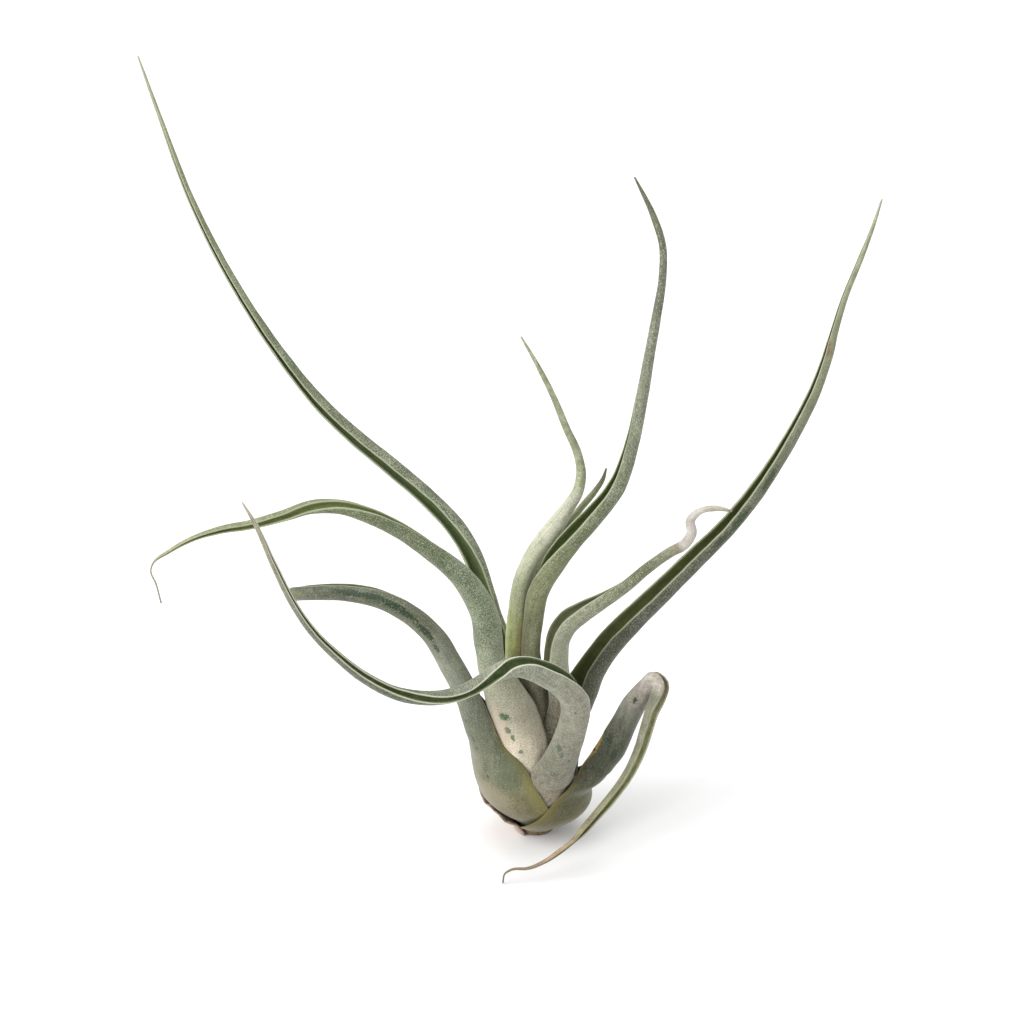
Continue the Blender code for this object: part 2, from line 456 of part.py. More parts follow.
def leaf_rings(stations, inner_leaves, tree):
    """Work out a leaf's rings of points, outer face then inner face, and its path."""
    rows = [(s.x, s.y, s.z, s.width / 2, s.gape, *unit(np.array(s.facing, float)))
            for s in stations]
    rows = smooth_rows(rows)
    path = rows[:, :3]
    radius = rows[:, 3]
    run = unit(np.gradient(path, axis=0))
    square = ease((LEVEL_WIDTH - 2 * radius) / (LEVEL_WIDTH - SQUARE_WIDTH))[:, None]
    normal = unit(square * run + (1 - square) * np.array(UP, float))
    facing = rows[:, 5:8]
    facing = unit(facing - (facing * normal).sum(axis=1, keepdims=True) * normal)
    side = np.cross(normal, facing)
    share = np.linspace(0, 1, POINTS_ACROSS)
    gape = np.radians(rows[:, 4])[:, None]
    angle = gape + share * (2 * math.pi - 2 * gape)
    spoke = (np.cos(angle)[:, :, None] * facing[:, None]
             + np.sin(angle)[:, :, None] * side[:, None])
    thin = 1 - MARGIN_THINNING * np.abs(2 * share - 1) ** 4
    wall = wall_thickness(radius)[:, None] * thin
    inner = path[:, None] + (radius[:, None] - wall)[:, :, None] * spoke
    for ring in range(len(rows)):
        if radius[ring] > FITTED_RADIUS:
            inner[ring] = fit_over(inner[ring], spoke[ring], tree, NEST_GAP)
        else:
            inner[ring] = push_clear(inner[ring], inner_leaves, NEST_GAP)
    outer = inner + wall[:, :, None] * spoke
    return np.concatenate([outer, inner[:, ::-1]], axis=1), path, radius


def ring_faces(rings, across):
    """Join rings of a C-shaped section with quads, and close the first and last."""
    around = 2 * across
    faces = []
    for k in range(rings - 1):
        for i in range(around):
            j = (i + 1) % around
            faces.append((k * around + i, k * around + j,
                          (k + 1) * around + j, (k + 1) * around + i))
    for base in (0, (rings - 1) * around):
        for i in range(across - 1):
            faces.append((base + i, base + i + 1,
                          base + around - 2 - i, base + around - 1 - i))
    return faces


def build_leaves(finish_of):
    """Make every leaf, each clear of the stem and of the leaves inside it."""
    stem = np.array([(0.0, 0.0, z) for z, r in STEM_PROFILE])
    inside = [(stem, np.array([r for z, r in STEM_PROFILE]))]
    nest_points = []
    nest_faces = []
    for leaf in LEAVES:
        tree = BVHTree.FromPolygons(nest_points, nest_faces)
        rings, path, radius = leaf_rings(leaf.stations, inside, tree)
        faces = ring_faces(len(rings), POINTS_ACROSS)
        points = rings.reshape(-1, 3)
        add_solid(leaf.name, points, faces, finish_of[leaf.name])
        inside.append((path, radius))
        nest_faces += [[i + len(nest_points) for i in face] for face in faces]
        nest_points += [Vector(p) for p in points]
    return BVHTree.FromPolygons(nest_points, nest_faces)


def build_stem(finish):
    """Turn the stem, flat below, with a closed top."""
    points = []
    faces = []
    for z, radius in STEM_PROFILE:
        for i in range(STEM_SIDES):
            turn = 2 * math.pi * i / STEM_SIDES
            points.append((radius * math.cos(turn), radius * math.sin(turn), z))
    for k in range(len(STEM_PROFILE) - 1):
        for i in range(STEM_SIDES):
            j = (i + 1) % STEM_SIDES
            faces.append((k * STEM_SIDES + i, k * STEM_SIDES + j,
                          (k + 1) * STEM_SIDES + j, (k + 1) * STEM_SIDES + i))
    last = (len(STEM_PROFILE) - 1) * STEM_SIDES
    faces.append(tuple(range(STEM_SIDES)))
    faces.append(tuple(range(last, last + STEM_SIDES)))
    return add_solid("stem", points, faces, finish)


def build_cuff(finish, tree):
    """Make the dead sheath: a torn cuff that hugs the leaves and stands on its lower rim."""
    share = np.linspace(0, 1, CUFF_POINTS)
    angle = CUFF_FACING + CUFF_OPENING + share * (2 * math.pi - 2 * CUFF_OPENING)
    spoke = np.stack([np.cos(angle), np.sin(angle), np.zeros(CUFF_POINTS)], axis=1)
    rim = CUFF_RIM_HEIGHT - CUFF_RIM_SLOPE * np.cos(2 * math.pi * share)
    rim = rim - CUFF_TEAR_DEPTH * np.sin(CUFF_TEARS * angle) ** 2
    rim = rim - CUFF_END_DROP * ease((share - 1 + CUFF_END_SHARE) / CUFF_END_SHARE)
    inner = []
    for step in np.linspace(0, 1, CUFF_RINGS):
        radius = CUFF_BASE_RADIUS + (CUFF_RIM_RADIUS - CUFF_BASE_RADIUS) * step ** CUFF_FLARE
        ring = (radius - CUFF_WALL) * spoke
        ring[:, 2] = step * rim
        reach = np.linalg.norm(fit_over(ring, spoke, tree, NEST_GAP)[:, :2], axis=1)
        beside = np.pad(reach, 1, mode="edge")
        reach = np.maximum(reach, np.maximum(beside[:-2], beside[2:]))
        ring[:, :2] = reach[:, None] * spoke[:, :2]
        inner.append(ring)
    inner = np.array(inner)
    outer = inner + CUFF_WALL * spoke
    rings = np.concatenate([outer, inner[:, ::-1]], axis=1)
    faces = ring_faces(CUFF_RINGS, CUFF_POINTS)
    return add_solid("dry_sheath", rings.reshape(-1, 3), faces, finish)


def main():
    """Build the whole plant."""
    clear_scene()
    finish_of = {leaf.name: material(leaf.name, leaf.colour, leaf.roughness)
                 for leaf in LEAVES}
    tree = build_leaves(finish_of)
    build_stem(material("stem", (0.13, 0.08, 0.04), 0.9))
    build_cuff(material("dry_sheath", (0.30, 0.20, 0.11), 0.85), tree)


main()
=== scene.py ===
"""The looks of Tillandsia caput-medusae, an air plant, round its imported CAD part.

Every leaf is built again from the same stations as the CAD part, but finely: the rings
lie a millimetre apart, the faces carry measures of where they are on the leaf, and a
Geometry Nodes tree gives each leaf its wall. A second tree scatters the silver scales
that air plants drink with. The colours are procedural and differ from leaf to leaf.
"""

from __future__ import annotations

import logging
import math
from dataclasses import dataclass, field
from enum import Enum

import bpy
import numpy as np
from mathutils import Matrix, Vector
from mathutils.bvhtree import BVHTree

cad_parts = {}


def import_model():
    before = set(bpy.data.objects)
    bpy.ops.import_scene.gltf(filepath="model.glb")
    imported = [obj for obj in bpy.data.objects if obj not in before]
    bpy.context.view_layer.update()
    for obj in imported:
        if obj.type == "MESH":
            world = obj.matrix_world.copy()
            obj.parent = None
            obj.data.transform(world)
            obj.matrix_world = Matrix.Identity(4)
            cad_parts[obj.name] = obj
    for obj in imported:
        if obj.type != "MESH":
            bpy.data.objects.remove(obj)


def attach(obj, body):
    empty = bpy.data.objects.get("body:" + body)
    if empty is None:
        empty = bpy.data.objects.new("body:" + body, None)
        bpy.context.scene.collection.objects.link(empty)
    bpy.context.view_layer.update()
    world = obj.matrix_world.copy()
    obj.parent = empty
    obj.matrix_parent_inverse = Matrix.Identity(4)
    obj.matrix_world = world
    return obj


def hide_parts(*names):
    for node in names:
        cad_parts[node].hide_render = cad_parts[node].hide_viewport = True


log = logging.getLogger("tillandsia")

MM = 0.001
TURN = 2 * math.pi

LEFT, RIGHT, BACK, UP = (-1, 0, 0), (1, 0, 0), (0, 1, 0), (0, 0, 1)
RUST = (0.3, 0.17, 0.1)

# In mm: how far the two faces lie apart on a leaf's map, how far in from the margin a
# full flush reaches (a colour flush, and on some leaves painted shade), how wide the pale
# line on the margin is, and the lengths of the waves in a leaf's width and in its margins.
FACE_GAP = 60.0
FLUSH_AND_SHADE_SPAN = 12.0
MARGIN_LINE = 0.4
SWELL_LENGTHS = (9.0, 17.0, 31.0)
RIPPLE_LENGTHS = (7.0, 13.0, 23.0)
# The scale of the small bumps on a leaf, and the part of noise that shows most change.
BUMPS_PER_METRE = 130.0
NOISE_SPAN = (0.3, 0.7)

Colour = tuple[float, float, float]
Point = tuple[float, float, float]
Stops = tuple[tuple[float, float, float, float], ...]
Levels = tuple[tuple[float, float], ...]
Value = bpy.types.NodeSocket | float | tuple


@dataclass(frozen=True)
class Station:
    """One place on a leaf, in mm and degrees, as the CAD part has it."""

    x: float
    y: float
    z: float
    width: float
    gape: float
    facing: Point


def stations(*rows: tuple) -> tuple[Station, ...]:
    """Make a leaf's stations.

    Args:
        rows: Each station's numbers; one with no facing keeps the facing before it.

    Returns:
        The stations.
    """
    made: list[Station] = []
    for *sizes, last in rows:
        if isinstance(last, tuple):
            made.append(Station(*sizes, last))
        else:
            made.append(Station(*sizes, last, made[-1].facing))
    return tuple(made)


LEAF_INNER_TIP = stations(
    (-0.9, 0.9, 20, 3.4, 40, RIGHT), (-1.9, 1.3, 38, 3.4, 38), (-4.4, 1.8, 56, 3.2, 35),
    (-5.8, 1.6, 74, 3.2, 30), (-4.8, 0.6, 90, 3.1, 30), (-1, 0.2, 104, 3, 30, (0.8, 0, -0.5)),
    (7.5, -0.2, 118.5, 2.7, 28), (14.5, -1, 129.5, 2.4, 28), (18.8, -1, 135.5, 2, 25),
    (21.2, -0.5, 139.5, 1.5, 25, (1, 0, -0.2)), (22.3, 0, 143.3, 0.6, 20, RIGHT)
)

LEAF_CENTRE_SHORT = stations(
    (0, 0, 15.4, 11.6, 85, (0.6, 0.8, 0)), (-0.1, 0, 18.4, 14.4, 85), (-0.5, 0, 23, 15.8, 84),
    (-1.6, 0, 32, 14.4, 78), (-3.5, 0, 45, 11, 65, (0.7, 0.7, 0)),
    (-6.5, -0.5, 60, 7.6, 48, (0.8, 0.6, 0)), (-7.7, -1.2, 73.5, 6.5, 40, (0.7, 0.7, 0)),
    (-6.8, -3, 90, 6.3, 38), (-4.5, -3.8, 104.5, 6.3, 35, (0.8, 0.6, -0.2)),
    (-0.3, -4.2, 114.5, 6.3, 35, (0.7, 0.6, -0.4)), (5, -5.2, 123.5, 6.1, 32, (0.6, 0.6, -0.5)),
    (10, -6.2, 132.5, 4.5, 30, (0.6, 0.7, -0.4)), (13, -7, 139, 3.8, 28, (0.4, 0.9, 0)),
    (13.9, -6, 145, 3.2, 25, (0.2, 1, 0.2)), (12.8, -4.5, 151, 2.8, 25, BACK),
    (9, -2, 159.5, 2.5, 22), (4.5, 3, 169, 2, 20), (-1, 8, 178.5, 1.4, 18),
    (-5.7, 13, 185, 0.6, 18)
)

LEAF_CENTRE_TALL = stations(
    (0, 0, 13.8, 13.2, 85, (-0.8, 0.6, 0)), (0, 0, 16.8, 16.8, 85), (0.1, -0.1, 21.4, 18.8, 84),
    (0.2, -0.6, 31, 17.6, 78, (-0.8, 0.5, 0)), (0.2, -1.5, 45, 13.6, 65, (-0.9, 0.4, 0)),
    (-1.1, -3.4, 61, 8.8, 52, (-0.8, 0.6, 0)), (-2.3, -5, 76, 6.6, 42, (-0.7, 0.7, 0)),
    (-1.5, -6.6, 88.5, 6.7, 40, (-0.75, 0.65, 0)), (0.2, -8.5, 101.5, 7.3, 38, (-0.85, 0.4, 0.1)),
    (5, -10.2, 113, 7.9, 38, (-0.9, 0, 0.3)), (11.2, -10.9, 123, 7.6, 38, (-0.8, -0.4, 0.6)),
    (18.2, -11.1, 132, 6.9, 35), (25, -10.2, 141.5, 6, 30, (-0.9, -0.4, 0.4)),
    (30.3, -8, 157.5, 4.7, 25, (-1, -0.2, 0.2)), (33, -5, 171.5, 4.2, 22, LEFT),
    (35.2, -1, 184, 3.6, 20, (-1, 0.3, 0)), (37.5, 4, 196, 3.1, 20, (-0.9, 0.5, 0)),
    (39.5, 10, 207.5, 2.6, 18, (-0.8, 0.6, 0)), (39.5, 15.5, 216.5, 2.4, 18, (-0.7, 0.7, 0)),
    (36.5, 21, 224.5, 2.1, 18, (-0.5, 0.8, -0.3)), (30.6, 27, 235, 0.6, 18)
)

LEAF_LONG_LEFT = stations(
    (0, 0, 12.2, 14.6, 90, (0.5, -0.86, 0)), (0, 0.1, 15.4, 19, 90), (-0.2, 0.4, 19.8, 21.6, 90),
    (-1.4, 1.8, 28, 20.8, 88), (-3.6, 4.2, 39.5, 17, 85, (0.45, -0.9, 0)),
    (-7, 7, 52, 13, 70, (0.3, -0.95, 0)), (-11.5, 10, 65, 9.8, 50, (0.25, -1, 0)),
    (-15.5, 13, 77, 7.8, 46, (0.15, -1, 0)), (-18.5, 17, 87, 7.2, 46, (0, -1, 0.1)),
    (-22, 23, 96, 6.9, 43, (-0.2, -0.95, 0.1)), (-28, 30, 103.5, 6.7, 38, (-0.35, -0.8, 0.1)),
    (-37, 36, 111, 6.4, 36), (-50, 42, 120.5, 6.1, 34, (-0.35, -0.8, 0.05)),
    (-62, 47, 129, 5.7, 32), (-72.5, 51, 138, 5.1, 30), (-88, 58, 156, 4.1, 26, (-0.35, -0.8, 0.1)),
    (-103, 67, 177.5, 3.3, 22), (-117, 77, 203.5, 2.5, 20), (-128, 89, 230.5, 1.5, 18),
    (-134.8, 96, 249, 0.6, 18)
)

LEAF_CURL_TIP = stations(
    (0, 0, 10.6, 15.2, 90, (-0.8, 0.6, 0)), (0.2, 0, 13.8, 19.8, 90), (0.6, -0.1, 18, 23.2, 90),
    (2.1, -0.8, 25, 21.8, 90), (3.9, -1.6, 34, 17.9, 103),
    (5.9, -2.2, 45.5, 14, 94, (-0.81, 0.59, 0)), (7.4, -3.8, 57, 11, 78, (-0.85, 0.45, 0)),
    (5.6, -6.4, 67.5, 10.4, 60, (-0.95, -0.15, 0.1)),
    (5.9, -7.6, 76.5, 9.3, 54, (-0.95, -0.25, 0.2)), (7, -8.9, 84, 8.4, 48, (-0.85, -0.3, 0.4)),
    (10, -10.4, 90.4, 8.2, 44, (-0.7, -0.25, 0.7)), (14.6, -12, 95.3, 7.2, 38, (-0.55, -0.2, 0.85)),
    (20.5, -14, 100.5, 5.7, 30, (-0.5, 0, 0.85)), (28.5, -16.5, 108, 4.2, 24, (-0.5, 0.4, 0.8)),
    (36, -19, 117, 3.7, 20, (-0.5, 0.5, 0.7)), (43, -21, 124, 3.5, 18, (-0.5, 0.6, 0.6)),
    (47.3, -22, 127.5, 3.5, 18, (-0.6, 0.7, 0.4)), (49.4, -22.3, 131.8, 3.4, 18, (-0.8, 0.6, 0)),
    (48.9, -22.6, 136.8, 3.1, 18), (51.8, -23, 140.4, 2.3, 18, (-0.6, 0.7, 0.5)),
    (56.5, -24, 142, 1.9, 18, (0, 0.8, 0.6)), (61.8, -26, 142.2, 0.7, 18)
)

LEAF_LEFT_ARCHING = stations(
    (0, 0, 9.2, 15.6, 90, (0.6, 0.8, 0)), (-0.2, -0.2, 12.4, 20.6, 90), (-0.7, -0.7, 16.8, 25, 90),
    (-1.6, -2.3, 24.6, 25.6, 94), (-4, -4.6, 35, 22.4, 92, (0.69, 0.72, 0)),
    (-6.2, -6.8, 46.3, 19.8, 77, (0.6, 0.8, 0)), (-8.9, -8.8, 57.6, 17, 68),
    (-12.2, -10.6, 65.7, 12.8, 58), (-14.9, -12, 72.6, 9.9, 48, (0.5, 0.8, 0.1)),
    (-16, -13.3, 80.5, 9.5, 42, (0.5, 0.8, 0.2)), (-16.6, -14.5, 86.8, 9.8, 38, (0.4, 0.8, 0.3)),
    (-17.2, -16, 94, 9.3, 34, (0.4, 0.7, 0.5)), (-21, -18, 106, 8.4, 32, (0.4, 0.6, 0.6)),
    (-27.5, -21, 117.5, 7.2, 30, (0.4, 0.5, 0.8)), (-36, -24, 127, 6.1, 28, (0.3, 0.3, 0.9)),
    (-45, -26.5, 135.5, 5.5, 28, (0.2, 0.1, 1)), (-54.5, -28.5, 142, 5.1, 30, (0.1, -0.2, 1)),
    (-63.5, -30, 146, 4.8, 32, (0, -0.6, 0.8)), (-72.5, -31, 146.5, 4.6, 36, (0, -0.9, 0.4)),
    (-81, -32, 144, 3.8, 38, (0, -1, 0.1)), (-91.5, -33, 141.3, 3.2, 38, (0, -1, -0.1)),
    (-101.5, -34, 139.8, 2.6, 36), (-110, -35, 137.3, 1.9, 32), (-118, -36, 133, 1.4, 26),
    (-123.2, -37, 129.2, 0.8, 22), (-124, -37.3, 126.8, 0.6, 20, (-0.4, -1, 0)),
    (-122.6, -37.6, 122, 0.6, 20), (-121.3, -38, 115, 0.6, 20)
)

LEAF_LONG_RIGHT = stations(
    (0, 0, 7.8, 15.8, 92, (-0.8, -0.6, 0)), (0.2, 0.2, 11, 21.4, 92), (0.6, 0.4, 15.4, 26, 92),
    (1.5, 1.5, 22, 25.2, 92), (4.7, 3.4, 32, 20.6, 90),
    (9.3, 5.2, 43, 16.2, 78, (-0.85, -0.5, 0.1)), (14.6, 6.6, 52, 12.8, 60, (-0.85, -0.45, 0.2)),
    (18.5, 8.2, 59.5, 10.3, 48, (-0.8, -0.4, 0.4)), (24.7, 11, 68.2, 9.4, 42, (-0.7, -0.4, 0.6)),
    (33, 15, 76, 8.6, 40, (-0.6, -0.45, 0.7)), (43, 20, 84.2, 8, 38, (-0.55, -0.5, 0.7)),
    (54, 25.5, 93.5, 7.3, 36), (65, 31, 102.8, 6.7, 34),
    (74.5, 37, 112.5, 6.1, 30, (-0.6, -0.5, 0.6)), (82.7, 43, 123, 5.4, 28, (-0.7, -0.5, 0.5)),
    (90, 49, 134, 4.8, 26, (-0.8, -0.5, 0.4)), (95.4, 54, 144, 4.3, 26, (-0.8, -0.5, 0.3)),
    (99.4, 59, 154, 3.7, 24, (-0.9, -0.5, 0.2)), (102, 63, 163, 2.8, 22, (-0.9, -0.4, 0.2)),
    (105.2, 67, 173, 2.3, 20), (110, 72, 184, 2, 20), (114.3, 76.5, 194.5, 1.4, 18),
    (117.3, 80, 203.5, 0.6, 18)
)

LEAF_FRONT_LOOP = stations(
    (0, 0, 6.4, 15.8, 92, BACK), (0.1, -0.4, 9.6, 22, 92), (0.4, -1.2, 14, 28.6, 92),
    (1.2, -4.2, 20.6, 29.4, 104, (-0.12, 0.99, 0)), (3, -9.8, 28, 20, 108, (-0.31, 0.95, 0)),
    (6, -16.2, 35.2, 13.4, 92, BACK), (9.1, -20.4, 45.8, 11, 68, (-0.1, 1, 0.1)),
    (11.5, -23.6, 57, 9.9, 45, (0.2, 1, 0.2)), (12.6, -26, 66.5, 9.9, 40, (0.68, 0.7, 0.21)),
    (11, -28.5, 74.2, 9.8, 38, (0.8, 0.38, 0.47)), (7, -31, 80.2, 9, 38, (0.66, 0.16, 0.74)),
    (2, -34, 85.3, 8.4, 38, (0.5, 0.06, 0.87)), (-3.1, -36, 88.8, 7.6, 38, (-0.1, -0.1, 1)),
    (-8.3, -38, 90.4, 6.7, 38, (0, -0.4, 0.9)), (-12.6, -39, 89.4, 6.1, 38, (0, -0.8, 0.3)),
    (-17.5, -40, 86.6, 5.5, 38, (0.1, -0.9, -0.1)), (-22.6, -41, 83.8, 5.1, 36, (0.1, -0.95, -0.3)),
    (-28.8, -42.3, 82.1, 4.9, 34, (0, -1, -0.1)), (-35.5, -44, 82.4, 4.9, 32, (0.1, -0.9, 0.3)),
    (-45, -47, 85.9, 4.5, 30, (0.3, -0.7, 0.7)), (-55.2, -50, 93.7, 3.9, 28, (0.5, -0.6, 0.6)),
    (-64.4, -53, 104.4, 3.3, 26, (0.6, -0.6, 0.5)), (-72.3, -56, 116.5, 2.8, 24, (0.7, -0.6, 0.4)),
    (-77.6, -58, 128, 2.5, 22, (0.7, -0.6, 0.3)), (-82, -60, 141, 2.2, 20, (0.7, -0.7, 0.3)),
    (-88.3, -63, 161, 1.2, 18), (-90.9, -64, 167, 0.6, 18)
)

LEAF_THICK_LEFT = stations(
    (0, 0, 4.9, 15.8, 89, (0.97, 0.24, 0)), (-0.2, -0.1, 8, 21.6, 88, (0.96, 0.28, 0)),
    (-0.6, -0.5, 11.6, 28.4, 87, (0.96, 0.29, 0)), (-1.6, -1.6, 18.1, 36.2, 87),
    (-3.5, -2.9, 23.7, 35.8, 87, (0.96, 0.27, 0)), (-6.9, -4.6, 29.6, 30.8, 84, (0.96, 0.28, 0)),
    (-11.8, -6.2, 36.7, 22.4, 75, (0.94, 0.33, 0)), (-16.2, -8.4, 44.7, 15.5, 78, (0.95, 0.32, 0)),
    (-20, -9.6, 52.9, 11.8, 50, (0.98, 0.12, 0.1)), (-23.6, -9.6, 61.7, 9.4, 48, (0.85, 0.4, 0.3)),
    (-28.9, -8.4, 72, 8.3, 35, (0.5, 0.6, 0.5)), (-35, -6, 82.5, 7.6, 30, (0.4, 0.6, 0.7)),
    (-43, -4, 89.8, 7.2, 28, (0.2, 0.6, 0.8)), (-53, -1, 93.8, 6.7, 28, (0, 0.5, 0.9)),
    (-63.5, 3, 93.8, 6.2, 30, (0, 0.3, 1)), (-74, 8, 91, 5.7, 32),
    (-81.6, 15, 86.2, 5.2, 32, (0, 0.4, 0.9)), (-84.2, 25, 79.4, 4.5, 30, (0, 0.5, 0.8)),
    (-85.2, 40, 69.8, 3.6, 26), (-86.6, 60, 57.6, 2, 22), (-88.2, 75, 48, 0.6, 20)
)

LEAF_RIGHT_FOLDED = stations(
    (0.1, -0.1, 2.9, 15.6, 78, (-0.91, 0.42, 0)), (0.4, -0.4, 6, 22.8, 80, (-0.93, 0.37, 0)),
    (1.2, -1, 9.8, 30.4, 85, (-0.95, 0.31, 0)), (2.8, -3.2, 15.4, 32.8, 96, (-0.96, 0.28, 0)),
    (4.3, -4.5, 19.2, 29.6, 105, (-0.94, 0.34, 0)), (7, -5.6, 22.5, 24.8, 108, (-0.91, 0.41, 0)),
    (13.7, -8.8, 29.3, 21, 100, (-0.91, 0.41, 0.1)), (20, -10.6, 36, 14.4, 74, (-0.85, 0.35, 0.4)),
    (24.2, -11.2, 41.2, 12.4, 58, (-0.85, 0.38, 0.45)),
    (29.1, -11.2, 50.4, 9.4, 34, (-0.79, 0.43, 0.44)),
    (33.5, -11.2, 59.6, 7.9, 15, (-0.7, 0.6, 0.4)),
    (37.2, -12.2, 65.8, 6.9, 13, (-0.45, 0.65, 0.6)), (39.2, -13.8, 69.6, 6, 15, (0.1, 0.45, 0.9)),
    (41.1, -15.8, 69, 5.9, 34, (0.7, -0.1, 0.7)), (40.3, -17.2, 65, 5.8, 42, (0.75, -0.62, 0.3)),
    (38.5, -18.2, 60.2, 5, 44, (0.58, -0.78, 0.28)), (37, -19, 54.6, 4.6, 44, (0.55, -0.8, 0.25)),
    (34.6, -20.8, 46.1, 4.3, 44, (0.5, -0.83, 0.2)),
    (30.6, -22.9, 37.3, 3.9, 42, (0.42, -0.86, 0.12)),
    (25, -25.4, 29.5, 3.7, 40, (0.36, -0.9, 0.05)), (18.9, -27.8, 22.5, 3.3, 36, (0.36, -0.9, 0)),
    (15.2, -29, 18.2, 3, 32, (0.38, -0.9, 0)), (13.2, -29.6, 15.9, 2.1, 28, (0.5, -0.8, -0.1)),
    (7.7, -31, 11.3, 1.9, 26, (0.4, -0.9, 0)), (2.6, -32.2, 8, 1.5, 22, (0.3, -0.9, 0)),
    (-3.2, -33.2, 5.8, 1.1, 20, (0.1, -1, 0.1)), (-8.6, -33.7, 5.7, 0.8, 20, (0, -1, 0.1)),
    (-11, -34, 4.2, 0.6, 20, (-0.5, -1, 0)), (-11.7, -34.2, 0.4, 0.6, 20)
)


class Face(Enum):
    """A leaf's faces and the rim between them, as the attribute leaf_face has them."""

    OUTER = 0.0
    RIM = 0.5
    CHANNEL = 1.0


@dataclass(frozen=True)
class LeafRule:
    """The sizes that every leaf follows, in mm, as the CAD part has them."""

    blade_wall: float = 1.15
    sheath_wall: float = 0.85
    sheath_radius: float = 9.0
    blade_radius: float = 4.5
    least_wall: float = 0.6
    margin_thinning: float = 0.35
    tip_wall_share: float = 0.75
    rolled_wall_share: float = 0.42
    nest_gap: float = 0.5
    fitted_radius: float = 5.5
    fitting_reach: float = 4.5
    level_width: float = 20.0
    square_width: float = 9.5
    coarse_across: int = 9
    coarse_blade: float = 11.0
    coarse_sheath: float = 4.5
    fine_across: int = 27
    fine_spacing: float = 1.1


RULE = LeafRule()
WALL_SIZES = {
    "Blade Wall": RULE.blade_wall * MM, "Sheath Wall": RULE.sheath_wall * MM,
    "Blade Radius": RULE.blade_radius * MM, "Sheath Radius": RULE.sheath_radius * MM,
    "Least Wall": RULE.least_wall * MM, "Margin Thinning": RULE.margin_thinning,
    "Tip Share": RULE.tip_wall_share, "Rolled Share": RULE.rolled_wall_share}


def unit(v: np.ndarray) -> np.ndarray:
    """Scale vectors to length one."""
    return v / np.linalg.norm(v, axis=-1, keepdims=True)


def ease(x: np.ndarray) -> np.ndarray:
    """Run smoothly from 0 to 1 as x does, and stay there outside."""
    x = np.clip(x, 0.0, 1.0)
    return x * x * (3 - 2 * x)


def blur(values: np.ndarray, reach: float, axis: int) -> np.ndarray:
    """Smooth a table along one axis.

    Args:
        values: The table.
        reach: How far the smoothing reaches, in rows.
        axis: The axis that it runs along.

    Returns:
        The smoothed table.
    """
    half = max(1, int(3 * reach))
    weight = np.exp(-0.5 * (np.arange(-half, half + 1) / reach) ** 2)
    weight /= weight.sum()
    pad = [(0, 0)] * values.ndim
    pad[axis] = (half, half)
    padded = np.pad(values, pad, mode="edge")
    return np.apply_along_axis(lambda row: np.convolve(row, weight, mode="valid"), axis, padded)


def waves(places: np.ndarray, lengths: Point, draw: np.random.Generator) -> np.ndarray:
    """Add up sine waves, each with a random start.

    Args:
        places: Where to read the sum, in mm.
        lengths: The waves' lengths, in mm.
        draw: The random numbers.

    Returns:
        The sum at each place.
    """
    out = np.zeros(len(places))
    for length in lengths:
        out += np.sin(places * TURN / length + draw.uniform(0, TURN))
    return out


def ring_faces(rings: int, around: int, start: int = 0) -> list[tuple[int, ...]]:
    """Join closed rings of points with quads.

    Args:
        rings: How many rings there are.
        around: How many points each ring has.
        start: The first point's number.

    Returns:
        The quads, by the points' numbers.
    """
    faces = []
    for here in range(start, start + (rings - 1) * around, around):
        for i in range(around):
            j = (i + 1) % around
            faces.append((here + i, here + j, here + around + j, here + around + i))
    return faces


def put(name: str, data: bpy.types.ID) -> bpy.types.Object:
    """Put a mesh, lamp or camera into the scene.

    Args:
        name: The object's name.
        data: The mesh, lamp or camera.

    Returns:
        The object.
    """
    thing = bpy.data.objects.new(name, data)
    bpy.context.scene.collection.objects.link(thing)
    return thing


class Curve:
    """A smooth curve through a leaf's stations, with width, gape and facing along it."""

    def __init__(self, through: tuple[Station, ...]) -> None:
        """Lay out the stations as rows of numbers, and how fast they change.

        Args:
            through: The leaf's stations.
        """
        self.rows = np.array([(s.x, s.y, s.z, s.width / 2, s.gape,
                               *unit(np.array(s.facing, float))) for s in through], float)
        reach = np.linalg.norm(np.diff(self.rows[:, :3], axis=0), axis=1)
        self.at = np.concatenate([[0], np.cumsum(reach)])
        self.slope = np.gradient(self.rows, self.at, axis=0)

    def places(self, blade: float, sheath: float) -> np.ndarray:
        """Divide the curve between its stations.

        Args:
            blade: The widest spacing along a blade, in mm.
            sheath: The widest spacing along a sheath, in mm.

        Returns:
            The places of the rings, as lengths along the curve.
        """
        out = []
        for k, span in enumerate(np.diff(self.at)):
            wide = min(self.rows[k][3], self.rows[k + 1][3]) > RULE.fitted_radius
            steps = math.ceil(span / (sheath if wide else blade))
            out += [self.at[k] + span * t for t in np.arange(steps) / steps]
        return np.array(out + [self.at[-1]])

    def read(self, places: np.ndarray) -> np.ndarray:
        """Read the rows of numbers.

        Args:
            places: Lengths along the curve, in mm.

        Returns:
            One row for each place.
        """
        k = np.clip(np.searchsorted(self.at, places, side="right") - 1, 0, len(self.at) - 2)
        span = (self.at[k + 1] - self.at[k])[:, None]
        t = (places[:, None] - self.at[k][:, None]) / span
        return ((1 + 2 * t) * (1 - t) ** 2 * self.rows[k]
                + t * (1 - t) ** 2 * span * self.slope[k]
                + t * t * (3 - 2 * t) * self.rows[k + 1]
                + t * t * (t - 1) * span * self.slope[k + 1])


